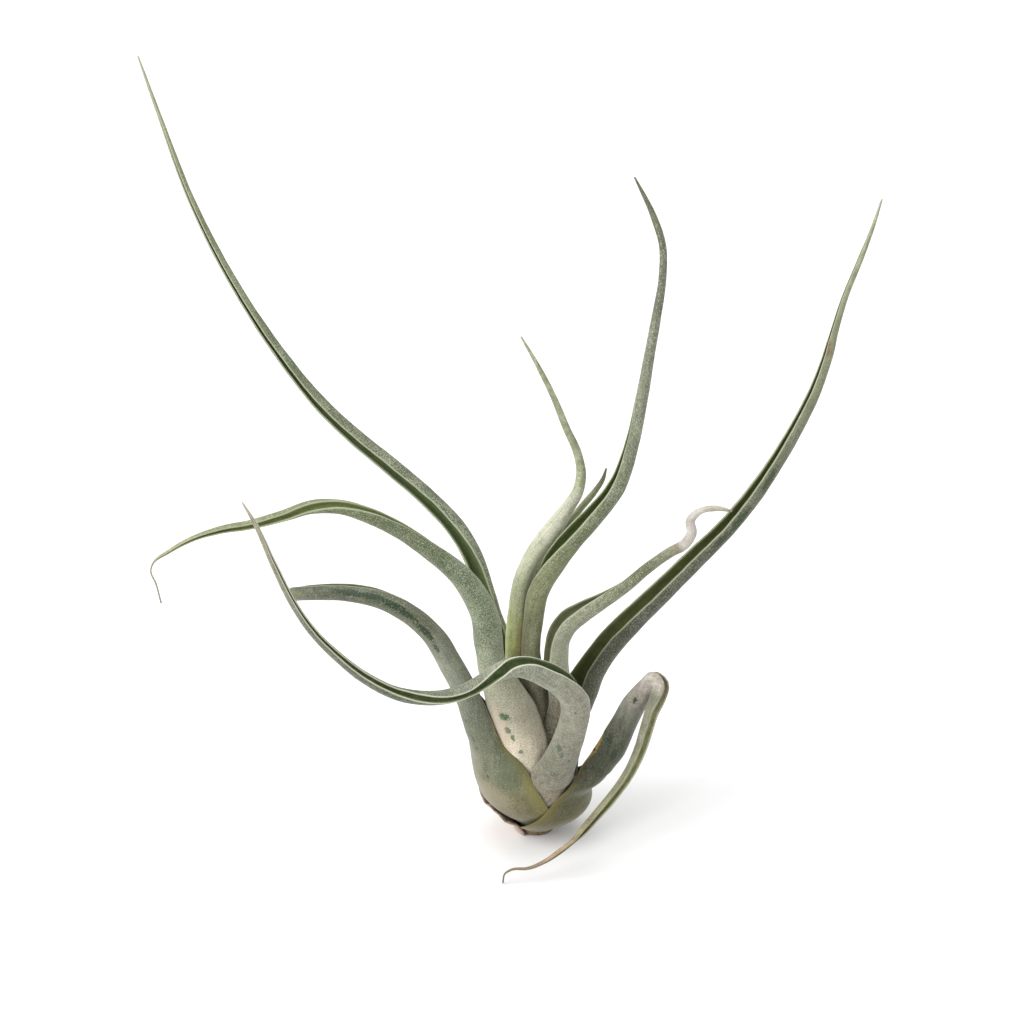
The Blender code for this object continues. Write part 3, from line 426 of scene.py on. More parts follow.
@dataclass
class Rings:
    """A leaf's rings before they have a wall: the middle, the spokes and their reach."""

    path: np.ndarray
    radius: np.ndarray
    spoke: np.ndarray
    wall: np.ndarray
    share: np.ndarray

    @classmethod
    def lay(cls, rows: np.ndarray, across: int, nick: np.ndarray | None = None) -> "Rings":
        """Lay rings along a leaf.

        Args:
            rows: The curve's numbers at each ring.
            across: How many points each face has across.
            nick: How much further each margin gapes at each ring, in degrees.

        Returns:
            The rings.
        """
        path = rows[:, :3]
        radius = rows[:, 3]
        run = unit(np.gradient(path, axis=0))
        square = ease((RULE.level_width - 2 * radius)
                      / (RULE.level_width - RULE.square_width))[:, None]
        normal = unit(square * run + (1 - square) * np.array(UP, float))
        facing = rows[:, 5:8]
        facing = unit(facing - (facing * normal).sum(axis=1, keepdims=True) * normal)
        side = np.cross(normal, facing)
        share = np.linspace(0, 1, across)
        nick = np.zeros((len(rows), 2)) if nick is None else nick
        first = np.radians(rows[:, 4] + nick[:, 0])[:, None]
        last = TURN - np.radians(rows[:, 4] + nick[:, 1])[:, None]
        angle = first + share * (last - first)
        spoke = (np.cos(angle)[:, :, None] * facing[:, None]
                 + np.sin(angle)[:, :, None] * side[:, None])
        thin = 1 - RULE.margin_thinning * np.abs(2 * share - 1) ** 4
        sheath = ease((radius - RULE.blade_radius) / (RULE.sheath_radius - RULE.blade_radius))
        wall = RULE.blade_wall + (RULE.sheath_wall - RULE.blade_wall) * sheath
        fine = np.maximum(RULE.rolled_wall_share * radius,
                          np.minimum(RULE.least_wall, RULE.tip_wall_share * radius))
        return cls(path, radius, spoke, np.minimum(wall, fine)[:, None] * thin, share)

    def inner(self) -> np.ndarray:
        """Give the points of the channel's face."""
        return self.path[:, None] + (self.radius[:, None] - self.wall)[:, :, None] * self.spoke


class Nest:
    """The stem and the finished leaves inside the one being built."""

    def __init__(self, stem: Levels) -> None:
        """Start with the stem alone.

        Args:
            stem: Its heights and radii, in mm.
        """
        path = np.array([(0.0, 0.0, z) for z, _ in stem])
        self.spaces = [(path, np.array([r for _, r in stem]))]
        self.points: list[Vector] = []
        self.faces: list[tuple[int, ...]] = []

    def push(self, points: np.ndarray) -> np.ndarray:
        """Move points straight out of the round space that each inner leaf fills.

        Args:
            points: Places in mm.

        Returns:
            The places, moved.
        """
        for path, radius in self.spaces * 2:
            start = path[:-1]
            along = path[1:] - start
            reach = ((points[:, None] - start) * along).sum(axis=2) / (along ** 2).sum(axis=1)
            below = reach[:, :1] < 0
            reach = np.clip(reach, 0, 1)
            room = radius[:-1] + reach * (radius[1:] - radius[:-1]) + RULE.nest_gap
            away = points[:, None] - (start + reach[:, :, None] * along)
            distance = np.linalg.norm(away, axis=2)
            lack = np.where(below, 0, room - distance)
            worst = lack.argmax(axis=1)
            row = np.arange(len(points))
            shift = np.maximum(lack[row, worst], 0) / distance[row, worst]
            points = points + away[row, worst] * shift[:, None]
        return points

    def over(self, points: np.ndarray, spokes: np.ndarray, tree: BVHTree) -> np.ndarray:
        """Move a sheath's points out until they stand clear of the finished leaves.

        Args:
            points: Places in mm.
            spokes: The way each may move.
            tree: The finished faces.

        Returns:
            The places, moved.
        """
        far = RULE.fitting_reach + RULE.nest_gap
        fitted = []
        for point, spoke in zip(points, spokes):
            outside = Vector(point + spoke * RULE.fitting_reach)
            distance = tree.ray_cast(outside, Vector(-spoke), far)[3]
            fitted.append(point + spoke * (0 if distance is None else far - distance))
        return np.array(fitted)

    def fit(self, curve: Curve) -> tuple[np.ndarray, np.ndarray]:
        """Fit a leaf over what is inside it, with the CAD part's own rings.

        Args:
            curve: The leaf's curve.

        Returns:
            The rings' places along the curve, and how far each of their points moves.
        """
        places = curve.places(RULE.coarse_blade, RULE.coarse_sheath)
        rings = Rings.lay(curve.read(places), RULE.coarse_across)
        tree = BVHTree.FromPolygons(self.points, self.faces)
        inner = rings.inner()
        moved = np.array([
            self.over(points, spokes, tree) if radius > RULE.fitted_radius
            else self.push(points)
            for points, spokes, radius in zip(inner, rings.spoke, rings.radius)])
        outer = moved + rings.wall[:, :, None] * rings.spoke
        solid = np.concatenate([outer, moved[:, ::-1]], axis=1).reshape(-1, 3)
        self.faces += ring_faces(len(inner), 2 * RULE.coarse_across, len(self.points))
        self.points += [Vector(p) for p in solid]
        self.spaces.append((rings.path, rings.radius))
        return places, moved - inner


class Wiring:
    """A node tree, with short ways to add nodes and join them."""

    def __init__(self, tree: bpy.types.NodeTree) -> None:
        """Keep the tree that the nodes go into."""
        self.tree = tree

    def node(self, kind: str, inputs: dict | None = None, **settings: str) -> bpy.types.Node:
        """Add a node.

        Args:
            kind: The node's type.
            inputs: Values or sockets for its inputs, by name or number.
            settings: The node's own settings.

        Returns:
            The node.
        """
        made = self.tree.nodes.new(kind)
        for name, value in settings.items():
            setattr(made, name, value)
        for key, value in (inputs or {}).items():
            self.feed(made.inputs[key], value)
        return made

    def feed(self, target: bpy.types.NodeSocket, value: Value) -> None:
        """Give an input a value, or join it to an output.

        Args:
            target: The input.
            value: The value or the output.
        """
        if isinstance(value, bpy.types.NodeSocket):
            self.tree.links.new(value, target)
        else:
            target.default_value = value

    def math(self, operation: str, *values: Value) -> bpy.types.NodeSocket:
        """Work out a number from numbers."""
        inputs = dict(enumerate(values))
        return self.node("ShaderNodeMath", inputs, operation=operation).outputs[0]

    def times(self, first: Value, second: Value) -> bpy.types.NodeSocket:
        """Multiply two numbers."""
        return self.math("MULTIPLY", first, second)

    def flip(self, mask: Value) -> bpy.types.NodeSocket:
        """Turn a mask round."""
        return self.math("SUBTRACT", 1.0, mask)

    def swing(self, value: Value, depth: Value, base: Value) -> bpy.types.NodeSocket:
        """Move a base up and down with a value that is about a half, by a depth."""
        return self.math("MULTIPLY_ADD", self.math("SUBTRACT", value, 0.5), depth, base)

    def vector(self, operation: str, *values: Value) -> bpy.types.NodeSocket:
        """Work out a vector or its length from vectors."""
        made = self.node("ShaderNodeVectorMath", dict(enumerate(values)), operation=operation)
        return made.outputs["Value" if operation == "LENGTH" else "Vector"]

    def scaled(self, vector: Value, size: Value) -> bpy.types.NodeSocket:
        """Scale a vector by a number."""
        return self.node("ShaderNodeVectorMath", {0: vector, "Scale": size},
                         operation="SCALE").outputs["Vector"]

    def mix(self, share: Value, first: Value, second: Value,
            blend: str = "MIX") -> bpy.types.NodeSocket:
        """Mix two colours, each a socket or a plain colour."""
        first, second = ((*c, 1.0) if isinstance(c, tuple) else c for c in (first, second))
        return self.node("ShaderNodeMix", {0: share, 6: first, 7: second},
                         data_type="RGBA", blend_type=blend).outputs[2]

    def step(self, value: Value, low: Value, high: Value,
             form: str = "SMOOTHSTEP") -> bpy.types.NodeSocket:
        """Turn a value into a mask: 0 below low, 1 above high."""
        return self.node("ShaderNodeMapRange", {0: value, 1: low, 2: high},
                         interpolation_type=form).outputs[0]

    def noise(self, place: Value, scale: float, detail: float = 2.0,
              rough: float = 0.55) -> bpy.types.NodeSocket:
        """Read smooth noise at a place, from about 0.25 to 0.75."""
        return self.node("ShaderNodeTexNoise", {"Vector": place, "Scale": scale,
                                                "Detail": detail, "Roughness": rough}).outputs[0]

    def ramp(self, share: Value, stops: Stops) -> bpy.types.NodeSocket:
        """Read a colour off a row of colours.

        Args:
            share: Where to read, from 0 to 1.
            stops: The colours, each with its place before it.

        Returns:
            The colour.
        """
        made = self.node("ShaderNodeValToRGB", {0: share})
        bar = made.color_ramp
        while len(bar.elements) < len(stops):
            bar.elements.new(1.0)
        for element, (place, *colour) in zip(bar.elements, stops):
            element.position = place
            element.color = (*colour, 1.0)
        return made.outputs[0]

    def level(self, share: Value, levels: Levels) -> bpy.types.NodeSocket:
        """Read a number off a row of numbers."""
        return self.ramp(share, tuple((place, v, v, v) for place, v in levels))

    def bump(self, height: Value, strength: float, distance: float) -> bpy.types.NodeSocket:
        """Bend the normal with a height of 0 to 1 over a distance in metres."""
        return self.node("ShaderNodeBump", {"Height": height, "Strength": strength,
                                            "Distance": distance}).outputs[0]

    def own_place(self) -> bpy.types.NodeSocket:
        """Read where a point is, in the piece's own coordinates in metres."""
        return self.node("ShaderNodeTexCoord").outputs["Object"]

    def measure(self, name: str, form: str = "FLOAT") -> bpy.types.NodeSocket:
        """Read one of a mesh's own measures in a Geometry Nodes tree."""
        return self.node("GeometryNodeInputNamedAttribute", {0: name}, data_type=form).outputs[0]


def new_group(name: str, given: dict[str, str | float], gives: str, form: str,
              kind: str = "ShaderNodeTree") -> tuple[Wiring, dict, bpy.types.NodeSocket]:
    """Start a node group with named inputs and one output.

    Args:
        name: The group's name.
        given: Each input's default number, or its type, by the input's name.
        gives: The output's name.
        form: The output's type.
        kind: The type of tree.

    Returns:
        The group's wiring, its input sockets by name, and the socket that takes its result.
    """
    tree = bpy.data.node_groups.new(name, kind)
    for title, value in given.items():
        plain = isinstance(value, str)
        form_in = value if plain else type(value).__name__.capitalize()
        made = tree.interface.new_socket(title, in_out="INPUT", socket_type="NodeSocket" + form_in)
        if not plain:
            made.default_value = value
    tree.interface.new_socket(gives, in_out="OUTPUT", socket_type="NodeSocket" + form)
    wires = Wiring(tree)
    size = wires.node("NodeGroupInput").outputs
    return wires, {title: size[title] for title in given}, wires.node("NodeGroupOutput").inputs[0]


def new_material(name: str) -> tuple[bpy.types.Material, Wiring, dict]:
    """Start a material.

    Args:
        name: The material's name.

    Returns:
        The material, its wiring and its shader's inputs.
    """
    made = bpy.data.materials.new(name)
    made.use_nodes = True
    return made, Wiring(made.node_tree), made.node_tree.nodes["Principled BSDF"].inputs


class Effects:
    """The shader groups that the finishes share, each built once."""

    def __init__(self) -> None:
        """Build the groups."""
        self.scurf = self.build_scurf()
        self.streaks = self.build_streaks()
        self.spot = self.build_spot()
        self.fibres = self.build_fibres()

    def build_scurf(self) -> bpy.types.NodeTree:
        """Make the speckle of silver scales: a mask that thickens with its cover.

        Returns:
            The group.
        """
        wires, given, out = new_group("silver_scurf", {
            "Place": "Vector", "Cover": 0.5, "Grain": 0.5, "Patchiness": 0.3}, "Mask", "Float")
        along_leaf, patch_scale = (1.0, 0.62, 1.0), 0.16
        cell_scale, dot_width, dot_level = 0.8, 0.75, 0.28
        bare_edge, edge_by_cover, softness = 0.86, -0.5, 0.06
        stretched = wires.vector("MULTIPLY", given["Place"], along_leaf)
        place = wires.scaled(stretched, wires.math("DIVIDE", 1.0, given["Grain"]))
        cells = wires.node("ShaderNodeTexVoronoi", {"Vector": place, "Scale": cell_scale})
        dots = wires.math("SUBTRACT", dot_width, cells.outputs["Distance"])
        grain = wires.math("MULTIPLY_ADD", dots, dot_level, wires.noise(place, 1.0, 2.0, 0.7))
        patch = wires.noise(stretched, patch_scale)
        cover = wires.swing(patch, given["Patchiness"], given["Cover"])
        edge = wires.math("MULTIPLY_ADD", cover, edge_by_cover, bare_edge)
        wires.feed(out, wires.step(grain, wires.math("SUBTRACT", edge, softness),
                                   wires.math("ADD", edge, softness)))
        return wires.tree

    def build_streaks(self) -> bpy.types.NodeTree:
        """Make the long fine streaks that follow a leaf's veins, from 0 to 1.

        Returns:
            The group.
        """
        wires, given, out = new_group("vein_streaks", {
            "Place": "Vector", "Width": 0.6, "Length": 12.0}, "Streak", "Float")
        across, along, face = wires.node("ShaderNodeSeparateXYZ", {0: given["Place"]}).outputs
        place = wires.node("ShaderNodeCombineXYZ", {
            0: wires.math("DIVIDE", across, given["Width"]),
            1: wires.math("DIVIDE", along, given["Length"]), 2: face}).outputs[0]
        wires.feed(out, wires.step(wires.noise(place, 1.0, 3.0), *NOISE_SPAN, "LINEAR"))
        return wires.tree

    def build_spot(self) -> bpy.types.NodeTree:
        """Make one ragged mark at a place on a leaf, as a mask.

        Returns:
            The group.
        """
        wires, given, out = new_group("ragged_spot", {
            "Place": "Vector", "Centre": "Vector", "Reach": "Vector", "Strength": 1.0},
            "Mask", "Float")
        raggedness, full_inside, none_outside = 2.2, 0.65, 1.15
        away = wires.vector("SUBTRACT", given["Place"], given["Centre"])
        distance = wires.vector("LENGTH", wires.vector("DIVIDE", away, given["Reach"]))
        rag = wires.noise(given["Place"], 1.1, 3.0, 0.65)
        ragged = wires.swing(rag, raggedness, distance)
        mask = wires.flip(wires.step(ragged, full_inside, none_outside))
        wires.feed(out, wires.times(mask, given["Strength"]))
        return wires.tree

    def build_fibres(self) -> bpy.types.NodeTree:
        """Make the fibres of dead plant tissue, which run up and down, from 0 to 1.

        Returns:
            The group.
        """
        wires, given, out = new_group("dead_fibres", {
            "Place": "Vector", "Fineness": 1.0}, "Fibre", "Float")
        upright, per_metre = (1.0, 1.0, 0.12), 1500.0
        place = wires.vector("MULTIPLY", given["Place"], upright)
        place = wires.scaled(place, given["Fineness"])
        fibre = wires.noise(place, per_metre, 4.0, 0.6)
        wires.feed(out, wires.step(fibre, *NOISE_SPAN, "LINEAR"))
        return wires.tree

    def use(self, wires: Wiring, group: bpy.types.NodeTree,
            **inputs: Value) -> bpy.types.NodeSocket:
        """Put a group into a material.

        Args:
            wires: The material's wiring.
            group: The group.
            inputs: Values for its inputs, by their names in small letters.

        Returns:
            The group's output.
        """
        made = wires.node("ShaderNodeGroup", node_tree=group)
        for name, value in inputs.items():
            wires.feed(made.inputs[name.capitalize()], value)
        return made.outputs[0]


@dataclass(frozen=True)
class Mark:
    """A patch of other colour on a leaf's outer face, such as a rub, scar or stain, at a place
    along and across it, in mm.
    """

    along: float
    across: float
    long: float
    wide: float
    strength: float = 1.0
    colour: Colour | None = None


@dataclass(frozen=True)
class LeafFinish:
    """How one leaf looks: colours along its outer face and its channel, and its scurf.

    Every level and depth is a share from 0 to 1. Sizes are in mm, scales by the mm.
    """

    outer: Stops
    channel: Stops
    outer_cover: Levels
    channel_cover: Levels
    scurf: Colour
    speck_level: float = 0.62
    # Colour near the margins: a flush, and on the left arching leaf painted shade.
    flush: Colour = (0.24, 0.25, 0.09)
    flush_reach: Levels = ((0.0, 0.0), (1.0, 0.0))
    flush_level: float = 0.75
    margin: Colour = (0.44, 0.46, 0.36)
    margin_level: Levels = ((0.0, 0.0), (0.2, 0.1), (0.32, 0.55), (1.0, 0.55))
    stain: Colour = (0.07, 0.13, 0.06)
    marks: tuple[Mark, ...] = ()
    grain: float = 0.36
    patchiness: float = 0.6
    streaking: float = 0.34
    streak_size: tuple[float, float] = (0.7, 14.0)
    clouding: float = 0.55
    cloud_scale: float = 0.22
    mottling: float = 0.55
    mottle_scale: float = 0.6
    grit: float = 0.5
    grit_scale: float = 1.7
    ribbing: float = 0.14
    rib_size: tuple[float, float] = (2.6, 0.42)
    tint: Colour = (0.20, 0.17, 0.10)
    tint_level: float = 0.0
    tint_scale: float = 0.3
    rubbed_bare: float = 0.7
    sheen: float = 0.3
    roughness: float = 0.62
    relief: float = 0.1

    def material(self, name: str, effects: Effects) -> bpy.types.Material:
        """Make the leaf's material.

        Args:
            name: The material's name.
            effects: The shared shader groups.

        Returns:
            The material.
        """
        made, wires, shader = new_material(name)
        run, face, rim, place = (
            wires.node("ShaderNodeAttribute", attribute_name=key).outputs[out] for key, out in
            (("leaf_run", "Fac"), ("leaf_face", "Fac"), ("from_margin", "Fac"),
             ("leaf_map", "Vector")))
        outer_up_to, channel_from = 0.15, 0.4
        face = wires.step(face, outer_up_to, channel_from)
        outside = wires.flip(face)
        wide, long = self.streak_size
        streak = effects.use(wires, effects.streaks, place=place, width=wide, length=long)
        tone = wires.mix(face, wires.ramp(run, self.outer), wires.ramp(run, self.channel))
        tone = wires.mix(1.0, tone, self.shade(wires, effects, place, streak), "MULTIPLY")
        if self.tint_level:
            tinge = wires.step(wires.noise(place, self.tint_scale, 3.0, 0.6), 0.44, 0.62)
            tone = wires.mix(wires.times(tinge, self.tint_level), tone, self.tint)
        # Colour near the margins: a flush, and on some leaves painted shade.
        reach = wires.math("MAXIMUM", wires.level(run, self.flush_reach), 0.001)
        near = wires.math("DIVIDE", rim, wires.times(reach, FLUSH_AND_SHADE_SPAN))
        flush = wires.times(wires.flip(wires.step(near, 0.0, 1.0)), outside)
        tone = wires.mix(wires.times(flush, self.flush_level), tone, self.flush)
        cover = wires.mix(face, wires.level(run, self.outer_cover),
                          wires.level(run, self.channel_cover))
        for mark in self.marks:
            spot = effects.use(wires, effects.spot, place=place, strength=mark.strength,
                               centre=(mark.across, mark.along, 0.0),
                               reach=(mark.wide, mark.long, FACE_GAP / 3))
            tone = wires.mix(spot, tone, mark.colour or self.stain)
            left = wires.math("MULTIPLY_ADD", spot, -self.rubbed_bare, 1.0)
            cover = wires.times(cover, left)
        speck = effects.use(wires, effects.scurf, place=place, cover=cover,
                            grain=self.grain, patchiness=self.patchiness)
        tone = wires.mix(wires.times(speck, self.speck_level), tone, self.scurf)
        line = wires.flip(wires.step(rim, 0.0, MARGIN_LINE))
        line = wires.times(wires.times(line, wires.level(run, self.margin_level)), outside)
        wires.feed(shader["Base Color"], wires.mix(line, tone, self.margin))
        wires.feed(shader["Roughness"],
                   wires.math("MULTIPLY_ADD", speck, 0.15, self.roughness - 0.05))
        for socket, value in (("Specular IOR Level", 0.22), ("Sheen Weight", self.sheen),
                              ("Sheen Roughness", 0.4), ("Sheen Tint", (0.90, 0.93, 0.85, 1.0))):
            shader[socket].default_value = value
        height = wires.math("MULTIPLY_ADD", streak, 0.4, speck)
        wires.feed(shader["Normal"], wires.bump(height, 0.35, self.relief * MM))
        return made

    def shade(self, wires: Wiring, effects: Effects, place: Value,
              streak: Value) -> bpy.types.NodeSocket:
        """Make the grey that darkens and lightens the leaf's colours.

        Args:
            wires: The material's wiring.
            effects: The shared shader groups.
            place: Where a point is on the leaf, in mm.
            streak: The leaf's long streaks.

        Returns:
            The grey, about one.
        """
        wide, long = self.rib_size
        ribs = effects.use(wires, effects.streaks, place=place, width=wide, length=long)
        clouds = wires.noise(place, self.cloud_scale)
        mottle = wires.noise(place, self.mottle_scale, 3.0, 0.6)
        grit = wires.noise(place, self.grit_scale, 2.0, 0.7)
        grit = wires.step(grit, 0.25, 0.75, "LINEAR")
        shade = 1.0
        for change, depth in ((streak, self.streaking), (clouds, self.clouding),
                              (mottle, self.mottling), (ribs, self.ribbing),
                              (grit, self.grit)):
            shade = wires.swing(change, depth, shade)
        return wires.node("ShaderNodeCombineColor", {0: shade, 1: shade, 2: shade}).outputs[0]


@dataclass(frozen=True)
class Nick:
    """A notch or step in a leaf's margin: where, which margin, how long and how deep."""

    along: float
    margin: int
    long: float
    deep: float


def tree_modifier(thing: bpy.types.Object, tree: bpy.types.NodeTree, inputs: dict) -> None:
    """Put a Geometry Nodes tree on an object, with its named inputs set.

    Args:
        thing: The object.
        tree: The tree.
        inputs: Values for the tree's inputs, by their names.
    """
    socket = {item.name: item.identifier for item in tree.interface.items_tree
              if item.in_out == "INPUT"}
    modifier = thing.modifiers.new(tree.name, "NODES")
    modifier.node_group = tree
    for name, value in inputs.items():
        modifier[socket[name]] = value


def settle(thing: bpy.types.Object, name: str) -> bpy.types.Object:
    """Turn an object's evaluated shape into a plain piece, and remove the object.

    Args:
        thing: The object.
        name: The piece's name.

    Returns:
        The piece.
    """
    bpy.context.view_layer.update()
    depsgraph = bpy.context.evaluated_depsgraph_get()
    mesh = bpy.data.meshes.new_from_object(thing.evaluated_get(depsgraph))
    mesh.name = name
    bpy.data.objects.remove(thing, do_unlink=True)
    return put(name, mesh)


class Growth:
    """The Geometry Nodes trees that give the leaves their walls and their scales."""

    def __init__(self) -> None:
        """Build the trees."""
        self.wall = self.build_wall()
        self.scales = self.build_scales()

    def start(self, name: str, sizes: dict[str, str | float]
              ) -> tuple[Wiring, dict, bpy.types.NodeSocket]:
        """Start a tree that takes a mesh, its sizes and a material, and gives a mesh."""
        return new_group(name, {"Geometry": "Geometry", **sizes, "Material": "Material"},
                         "Geometry", "Geometry", "GeometryNodeTree")

    def close(self, wires: Wiring, mesh: Value, material: Value,
              out: bpy.types.NodeSocket) -> bpy.types.NodeTree:
        """End a tree: its mesh is made real and dressed.

        Args:
            wires: The tree's wiring.
            mesh: The mesh that the tree has made.
            material: The tree's material input.
            out: The socket that takes the result.

        Returns:
            The finished tree.
        """
        joined = wires.node("GeometryNodeRealizeInstances", {0: mesh})
        dressed = wires.node("GeometryNodeSetMaterial",
                             {"Geometry": joined.outputs[0], "Material": material})
        wires.feed(out, dressed.outputs[0])
        return wires.tree

    def build_wall(self) -> bpy.types.NodeTree:
        """Make the tree that lays a leaf's two faces either side of its wall.

        Returns:
            The tree.
        """
        wires, size, out = self.start("leaf_wall", {
            **WALL_SIZES, "Unevenness": 0.1 * MM, "Unevenness Seed": 0.0})
        reach = wires.measure("reach")
        sheath = wires.step(reach, size["Blade Radius"], size["Sheath Radius"])
        change = wires.math("SUBTRACT", size["Sheath Wall"], size["Blade Wall"])
        wall = wires.math("MULTIPLY_ADD", change, sheath, size["Blade Wall"])
        fine = wires.math("MAXIMUM", wires.times(size["Rolled Share"], reach),
                          wires.math("MINIMUM", size["Least Wall"],
                                     wires.times(size["Tip Share"], reach)))
        wall = wires.math("MINIMUM", wall, fine)
        off = wires.math("POWER", wires.math("ABSOLUTE", wires.measure("leaf_across")), 4.0)
        wall = wires.times(wall, wires.flip(wires.times(size["Margin Thinning"], off)))
        depth = wires.times(wall, wires.measure("leaf_face"))
        spoke, spine, nest, brim = (wires.measure(name, "FLOAT_VECTOR")
                                    for name in ("spoke", "spine", "nest", "brim"))
        surface = wires.vector("ADD", spine, wires.scaled(spoke, reach))
        rough = wires.node("ShaderNodeTexNoise", {
            "Vector": surface, "W": size["Unevenness Seed"], "Scale": BUMPS_PER_METRE,
            "Detail": 2.0}, noise_dimensions="4D").outputs[0]
        rough = wires.times(wires.math("SUBTRACT", rough, 0.5), size["Unevenness"])
        along = wires.math("ADD", wires.math("SUBTRACT", reach, depth), rough)
        place = wires.vector("ADD", spine, wires.scaled(spoke, along))
        place = wires.vector("ADD", place, nest)
        place = wires.vector("ADD", place, wires.scaled(brim, wires.times(wall, 0.5)))
        moved = wires.node("GeometryNodeSetPosition",
                           {"Geometry": size["Geometry"], "Position": place})
        return self.close(wires, moved.outputs[0], size["Material"], out)

    def build_scales(self) -> bpy.types.NodeTree:
        """Make the tree that scatters silver scales over a leaf.

        Returns:
            The tree.
        """
        wires, size, out = self.start("silver_scales", {
            "Density": 2.0e6, "Scale Width": 0.45 * MM, "Scale Height": 0.12 * MM, "Seed": 0})
        spread = wires.node("GeometryNodeDistributePointsOnFaces", {
            "Mesh": size["Geometry"], "Seed": size["Seed"],
            "Density": wires.times(wires.measure("scale_cover"), size["Density"])},
            distribute_method="RANDOM").outputs
        form = wires.node("GeometryNodeMeshCone", {
            "Vertices": 4, "Side Segments": 1, "Radius Top": 0.0, "Depth": size["Scale Height"],
            "Radius Bottom": wires.times(size["Scale Width"], 0.5)}, fill_type="NGON")
        size_seed, smallest, largest = 7, 0.6, 1.25
        spin, grow = (wires.node("FunctionNodeRandomValue", {"Seed": seed, 2: low, 3: high},
                                 data_type="FLOAT").outputs[1]
                      for seed, low, high in ((size["Seed"], 0.0, TURN),
                                              (size_seed, smallest, largest)))
        turned = wires.node("FunctionNodeRotateRotation", {
            0: spread["Rotation"], 1: wires.node("FunctionNodeAxisAngleToRotation", {
                "Axis": (0.0, 0.0, 1.0), "Angle": spin}).outputs[0]}, rotation_space="LOCAL")
        placed = wires.node("GeometryNodeInstanceOnPoints", {
            "Points": spread["Points"], "Instance": form.outputs["Mesh"],
            "Rotation": turned.outputs[0], "Scale": grow})
        return self.close(wires, placed.outputs[0], size["Material"], out)


